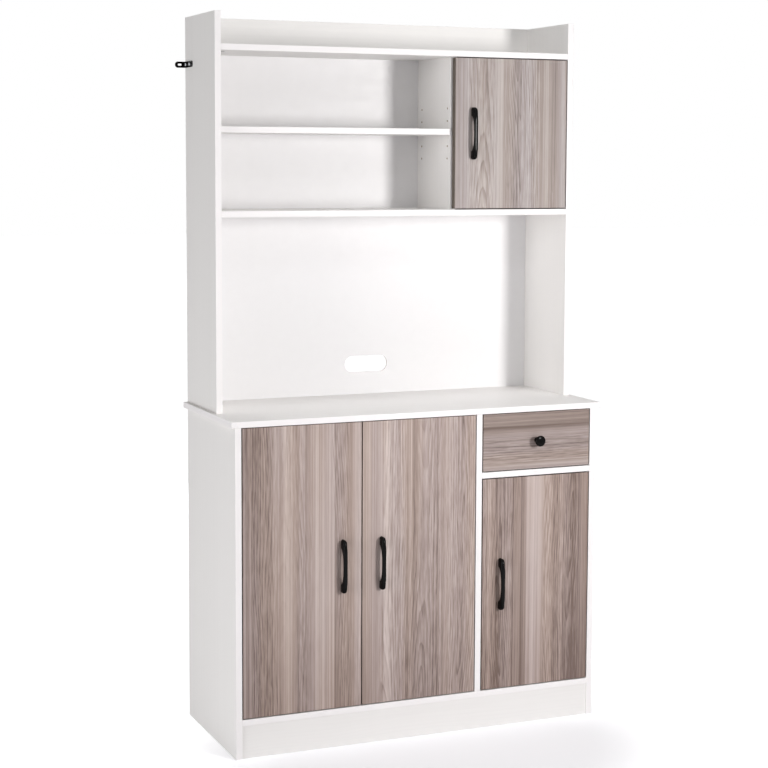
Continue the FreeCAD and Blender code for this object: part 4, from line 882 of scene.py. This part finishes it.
# Node and direction of its grain
WHITE_BOARDS = {
    "base_side_left": "Z", "base_side_right": "Z", "base_divider": "Z", "base_bottom_panel": "X",
    "kick_board": "X", "rear_plinth_rail": "X", "drawer_rail": "X", "worktop": "X",
    "base_shelf_left": "X", "base_shelf_right": "X", "hutch_side_left": "Z", "hutch_side_right": "Z",
    "hutch_divider": "Z", "hutch_fixed_shelf": "X", "hutch_top_shelf": "X", "gallery_board": "X",
    "hutch_adjustable_shelf": "X", "cupboard_shelf": "X",
}
DRAWER_BOARDS = {"drawer_side_left": "Y", "drawer_side_right": "Y", "drawer_back": "X"}
# Node, direction of its grain, seed, and the darkness and coolness of its print
FRONTS = {
    "left_door_panel": ("Z", 26, (0.05, 0.1)), "middle_door_panel": ("Z", 31, (-0.12, 0.1)),
    "right_door_panel": ("Z", 46, (0.08, 0.0)), "hutch_door_panel": ("Z", 2, (-0.04, 1.0)),
    "drawer_front": ("X", 50, (0.18, 0.5)),
}
BACKS = ("base_back_panel", "hutch_upper_back", "niche_back")
DOORS = ("left_door", "middle_door", "right_door", "hutch_door")


def white_boards(context, boards, first_seed):
    """White laminate boards with white edging."""
    materials = [white_laminate("White laminate", "white_board", 0.02),
                 white_laminate("White edging", "white_band", 0.006), bare_chipboard()]
    for seed, (node, along) in enumerate(boards.items(), start=first_seed):
        board(node, along, context.scene.hutch_sizes.board_rounding, seed, materials)


class DressCarcass(bpy.types.Operator):
    """White laminate boards of the cabinet and the hutch"""

    bl_idname = "hutch.dress_carcass"
    bl_label = "Carcass boards"

    def execute(self, context):
        white_boards(context, WHITE_BOARDS, first_seed=1)
        return {"FINISHED"}


class DressFronts(bpy.types.Operator):
    """Grey oak doors and drawer front"""

    bl_idname = "hutch.dress_fronts"
    bl_label = "Doors and drawer front"

    def execute(self, context):
        materials = [oak_laminate(), oak_edging(), bare_chipboard()]
        for node, (along, seed, tone) in FRONTS.items():
            board(node, along, context.scene.hutch_sizes.front_rounding, seed, materials, tone=tone)
        return {"FINISHED"}


class DressBacks(bpy.types.Operator):
    """Thin backs and drawer bottom, painted white inside and bare behind"""

    bl_idname = "hutch.dress_backs"
    bl_label = "Thin backs"

    def execute(self, context):
        materials = [painted_back(), bare_back(), bare_back()]
        for seed, node in enumerate(BACKS, start=31):
            board(node, "Z", 0, seed, materials, lambda normal: FACE if normal.y < -0.5 else EDGING)
        board("drawer_bottom", "X", 0, 36, materials, lambda normal: FACE if normal.z > 0.5 else EDGING)
        return {"FINISHED"}


class DressDrawer(bpy.types.Operator):
    """White sides and back of the drawer box"""

    bl_idname = "hutch.dress_drawer"
    bl_label = "Drawer box"

    def execute(self, context):
        white_boards(context, DRAWER_BOARDS, first_seed=41)
        return {"FINISHED"}


class MakeHandles(bpy.types.Operator):
    """Black bow handles of the four doors"""

    bl_idname = "hutch.make_handles"
    bl_label = "Bow handles"

    def execute(self, context):
        for door in DOORS:
            bow_handle(door + "_handle", black_paint())
        return {"FINISHED"}


class MakeKnob(bpy.types.Operator):
    """Round black knob of the drawer"""

    bl_idname = "hutch.make_knob"
    bl_label = "Drawer knob"

    def execute(self, context):
        turned_knob("drawer_knob", black_paint())
        return {"FINISHED"}


class MakeBrackets(bpy.types.Operator):
    """Black angle brackets that hold the hutch to the wall"""

    bl_idname = "hutch.make_brackets"
    bl_label = "Wall brackets"

    def execute(self, context):
        nodes = ("wall_bracket_left", "wall_bracket_right")
        sheet_metal(nodes, black_paint(), context.scene.hutch_sizes.metal_rounding)
        return {"FINISHED"}


class MakeScrews(bpy.types.Operator):
    """Pan head screws with cross recesses"""

    bl_idname = "hutch.make_screws"
    bl_label = "Screws"

    def execute(self, context):
        zinc = zinc_plate()
        head_height = 2 * MM
        small = {"Head Radius": 3.5 * MM, "Shank Radius": 1.75 * MM, "Head Height": head_height,
                 "Length": 12 * MM, "Recess Width": context.scene.hutch_sizes.recess_width,
                 "Recess Span": 3.6 * MM, "Recess Depth": 1.1 * MM}
        large = {**small, "Head Radius": 4 * MM, "Shank Radius": 2 * MM, "Recess Span": 4.4 * MM}
        wood = turned_tree("Pan head screw", SCREW_PROFILE, slots=2)
        machine = turned_tree("Machine screw", MACHINE_PROFILE, slots=2)
        for node in ("carcass_screws", "drawer_runner_screws"):
            repeat(node, "_turned", heads(islands(node), head_height), wood, small, zinc)
        for node in [door + "_handle_screws" for door in DOORS] + ["drawer_knob_screw"]:
            solids = islands(node)
            values = {**large, "Length": solids[0].length - head_height}
            repeat(node, "_turned", heads(solids, head_height), machine, values, zinc)
        return {"FINISHED"}


class MakePins(bpy.types.Operator):
    """Nickel shelf pins and fluted beech dowels"""

    bl_idname = "hutch.make_pins"
    bl_label = "Shelf pins and dowels"

    def execute(self, context):
        pins = islands("shelf_pins")
        values = {"Shank Radius": 2.5 * MM, "Length": pins[0].length}
        plain = turned_tree("Shelf pin", PIN_PROFILE)
        repeat("shelf_pins", "_turned", centres(pins), plain, values, nickel_plate())
        fluted = turned_tree("Fluted dowel", DOWEL_PROFILE)
        for node in ("wood_dowels", "drawer_dowels"):
            dowels = islands(node)
            values = {"Shank Radius": 4 * MM, "Length": min(dowel.length for dowel in dowels),
                      "Flutes": 14, "Flute Depth": 0.07}
            repeat(node, "_fluted", centres(dowels), fluted, values, beech_wood())
        return {"FINISHED"}


class MakeCams(bpy.types.Operator):
    """Cam bolts and the cam discs that draw them in"""

    bl_idname = "hutch.make_cams"
    bl_label = "Cam fittings"

    def execute(self, context):
        discs, bolts = islands("cam_discs"), islands("cam_bolts")
        places = []
        for bolt in bolts:
            near = min(discs, key=lambda disc: (disc.middle - bolt.middle).length)
            places.append((bolt.middle, Vector((math.copysign(1, near.middle.x - bolt.middle.x), 0, 0))))
        values = {"Shank Radius": 3 * MM, "Length": bolts[0].length}
        tree = turned_tree("Cam bolt", CAM_BOLT_PROFILE)
        repeat("cam_bolts", "_turned", places, tree, values, zinc_plate())
        rim, down = 3 * MM, Vector((0, 0, -1))
        places = [(Vector((disc.middle.x, disc.middle.y, disc.low.z + rim)), down) for disc in discs]
        values = {"Head Radius": 7.5 * MM, "Shank Radius": 5.6 * MM, "Head Height": rim,
                  "Length": discs[0].high.z - discs[0].low.z - rim,
                  "Recess Width": 1.2 * MM, "Recess Span": 7.5 * MM, "Recess Depth": 1.8 * MM}
        tree = turned_tree("Cam disc", CAM_DISC_PROFILE, slots=2)
        repeat("cam_discs", "_cast", places, tree, values, cast_metal())
        return {"FINISHED"}


class MakeHinges(bpy.types.Operator):
    """Concealed hinges: cups in the doors, arms and plates on the carcass"""

    bl_idname = "hutch.make_hinges"
    bl_label = "Hinges"

    def execute(self, context):
        nodes = ["hinge_arms", "hinge_plates"] + [door + "_hinge_cups" for door in DOORS]
        sheet_metal(nodes, nickel_plate(), context.scene.hutch_sizes.metal_rounding)
        return {"FINISHED"}


class MakeRunners(bpy.types.Operator):
    """Ball bearing runners of the drawer and their cages"""

    bl_idname = "hutch.make_runners"
    bl_label = "Drawer runners"

    def execute(self, context):
        nodes = ("runner_cabinet_members", "runner_drawer_members", "ball_cage_left", "ball_cage_right")
        sheet_metal(nodes, zinc_plate(), context.scene.hutch_sizes.metal_rounding / 2)
        return {"FINISHED"}


class MakeBumpers(bpy.types.Operator):
    """Clear rubber bumpers behind the hutch door"""

    bl_idname = "hutch.make_bumpers"
    bl_label = "Door bumpers"

    def execute(self, context):
        bumpers = islands("hutch_door_bumpers")
        front = Vector((0, -1, 0))
        places = [(Vector((solid.middle.x, solid.high.y, solid.middle.z)), front) for solid in bumpers]
        values = {"Head Radius": 4 * MM, "Head Height": bumpers[0].high.y - bumpers[0].low.y}
        tree = turned_tree("Bumper", DOME_PROFILE)
        repeat("hutch_door_bumpers", "_domed", places, tree, values, clear_rubber())
        return {"FINISHED"}


# Studio

WARM, COOL = (1, 0.99, 0.985), (0.985, 0.99, 1)
# Name, the choice of its power, place, target, width, height, tint and spread in degrees
LAMPS = (
    ("Key lamp", "key", (1.2, -2.75, 1.38), (0, 0, 1.05), 0.4, 0.75, (1, 0.985, 0.975), 180),
    ("Side lamp", "side", (-6.3, -2.0, 1.7), (0, 0, 1.1), 2.2, 2.2, WARM, 180),
    ("Top lamp", "top", (0.2, -0.9, 4.3), (0, -0.1, 0.8), 1.2, 0.8, COOL, 180),
    ("Low lamp", "low", (-2.3, -0.7, 0.25), (-0.5, 0, 0.35), 0.8, 0.4, (1, 0.99, 0.98), 180),
    ("Worktop lamp", "worktop", (0.2, -1.7, 2.3), (0, -0.05, 0.8), 0.6, 0.4, COOL, 50),
    ("Back lamp", "back", (1.3, 3.2, 0.3), (0, 0.2, 0.9), 1.6, 1.0, WARM, 180),
)

FLOOR_REACH = 30.0
# Oval of the floor with less glow round the hutch: a painted shade pool in which the floor's real shadow also
# shows; its centre, its squeeze, and where its glow starts and ends
SHADE_POOL_CENTRE = (0.0, -0.3, 0.0)
SHADE_POOL_SQUEEZE = (0.85, 1.0, 1.0)
SHADE_POOL_RIM = (0.3, 0.75)

CAMERA_PLACE = (-1.80545, -4.1875, 1.43839)
# Turns in radians: to the right, down, and round the line of sight
CAMERA_TURNS = (0.401254, 0.093509, 0.003725)
CAMERA_LENS = 83.85
CAMERA_SHIFT = -0.07


class BuildStudio(bpy.types.Operator):
    """Floor, sky, lamps and camera"""

    bl_idname = "hutch.build_studio"
    bl_label = "Studio"

    def lamp(self, context, name, power, place, target, width, height, tint, spread):
        light = bpy.data.lights.new(name, "AREA")
        light.shape = "RECTANGLE"
        light.size, light.size_y = width, height
        light.spread = math.radians(spread)
        light.energy = getattr(context.scene.hutch_studio, power)
        light.color = tint
        lamp = new_object(name, light)
        lamp.location = place
        lamp.rotation_euler = (Vector(target) - Vector(place)).to_track_quat("-Z", "Y").to_euler()

    def floor_material(self, studio):
        def make(graph, shader, _):
            shader.inputs["Base Color"].default_value = rgba(studio.floor)
            shader.inputs["Roughness"].default_value = 0.9
            rays = graph.node("ShaderNodeLightPath").outputs
            seen = graph.math("MINIMUM", graph.plus(rays["Is Camera Ray"], rays["Is Glossy Ray"]), 1.0)
            # painted shade pool: near the hutch the glow drops to floor_glow, so the floor there reads greyer
            # besides its real shadow; further out the glow makes it white
            from_centre = graph.vector_math("SUBTRACT", object_place(graph), SHADE_POOL_CENTRE)[0]
            away = graph.vector_math("LENGTH", graph.scaled(from_centre, *SHADE_POOL_SQUEEZE))["Value"]
            white = graph.times(seen, graph.remap(away, *SHADE_POOL_RIM, studio.floor_glow, 1.0, True))
            glow = graph.node("ShaderNodeEmission", {"Color": (1, 1, 1, 1), "Strength": white})
            total = graph.node("ShaderNodeAddShader", {0: shader.outputs[0], 1: glow.outputs[0]})
            graph.feed(graph.tree.nodes["Material Output"].inputs["Surface"], total.outputs[0])
        return finish("Studio floor", make)

    def floor(self, studio):
        data = bpy.data.meshes.new("studio_floor")
        corners = [(x * FLOOR_REACH, y * FLOOR_REACH, 0) for x, y in ((-1, -1), (1, -1), (1, 1), (-1, 1))]
        data.from_pydata(corners, [], [(0, 1, 2, 3)])
        data.materials.append(self.floor_material(studio))
        floor = new_object("studio_floor", data)

    def sky(self, context, studio):
        world = bpy.data.worlds.new("Studio sky")
        world.use_nodes = True
        graph = Graph(world.node_tree)
        background = world.node_tree.nodes["Background"]
        rays = graph.node("ShaderNodeLightPath").outputs
        mirrored = graph.plus(rays["Is Glossy Ray"], rays["Is Transmission Ray"])
        seen = graph.plus(rays["Is Camera Ray"], mirrored)
        graph.feed(background.inputs["Strength"], graph.remap(seen, 0.0, 1.0, studio.sky, 1.0))
        background.inputs["Color"].default_value = (1, 1, 1, 1)
        context.scene.world = world

    def camera(self, context):
        data = bpy.data.cameras.new("Camera")
        data.sensor_width = 36.0
        data.lens = CAMERA_LENS
        data.shift_y = CAMERA_SHIFT
        data.dof.use_dof = False
        yaw, pitch, roll = CAMERA_TURNS
        ahead = Vector((math.sin(yaw) * math.cos(pitch), math.cos(yaw) * math.cos(pitch), -math.sin(pitch)))
        right = Vector((math.cos(yaw), -math.sin(yaw), 0))
        upward = right.cross(ahead)
        level = right * math.cos(roll) + upward * math.sin(roll)
        raised = upward * math.cos(roll) - right * math.sin(roll)
        place = Matrix((level, raised, -ahead)).transposed().to_4x4()
        place.translation = CAMERA_PLACE
        camera = new_object("Camera", data)
        camera.matrix_world = place
        context.scene.camera = camera

    def execute(self, context):
        studio = context.scene.hutch_studio
        if studio.shadow_floor:
            self.floor(studio)
        self.sky(context, studio)
        for values in LAMPS:
            self.lamp(context, *values)
        self.camera(context)
        context.scene.view_settings.view_transform = "Standard"
        return {"FINISHED"}


class HutchPanel(bpy.types.Panel):
    """Sizes, colours and steps of the hutch"""

    bl_idname = "VIEW3D_PT_hutch"
    bl_label = "Kitchen hutch"
    bl_space_type = "VIEW_3D"
    bl_region_type = "UI"
    bl_category = "Hutch"

    def draw(self, context):
        for step in STEPS:
            self.layout.operator(step.bl_idname)
        for choices in (context.scene.hutch_sizes, context.scene.hutch_colours, context.scene.hutch_studio):
            column = self.layout.column()
            for name in choices.__annotations__:
                column.prop(choices, name)


STEPS = (DressCarcass, DressFronts, DressBacks, DressDrawer, MakeHandles, MakeKnob, MakeBrackets, MakeScrews,
         MakePins, MakeCams, MakeHinges, MakeRunners, MakeBumpers, BuildStudio)
CHOICES = {"hutch_sizes": HutchSizes, "hutch_colours": HutchColours, "hutch_studio": HutchStudio}


def register():
    for group in (*CHOICES.values(), *STEPS, HutchPanel):
        bpy.utils.register_class(group)
    for name, group in CHOICES.items():
        setattr(bpy.types.Scene, name, PointerProperty(type=group))


def unregister():
    for name in CHOICES:
        delattr(bpy.types.Scene, name)
    for group in (HutchPanel, *reversed(STEPS), *reversed(CHOICES.values())):
        bpy.utils.unregister_class(group)


def main():
    register()
    for step in STEPS:
        area, name = step.bl_idname.split(".")
        getattr(getattr(bpy.ops, area), name)()


if __name__ == "__main__":
    main()
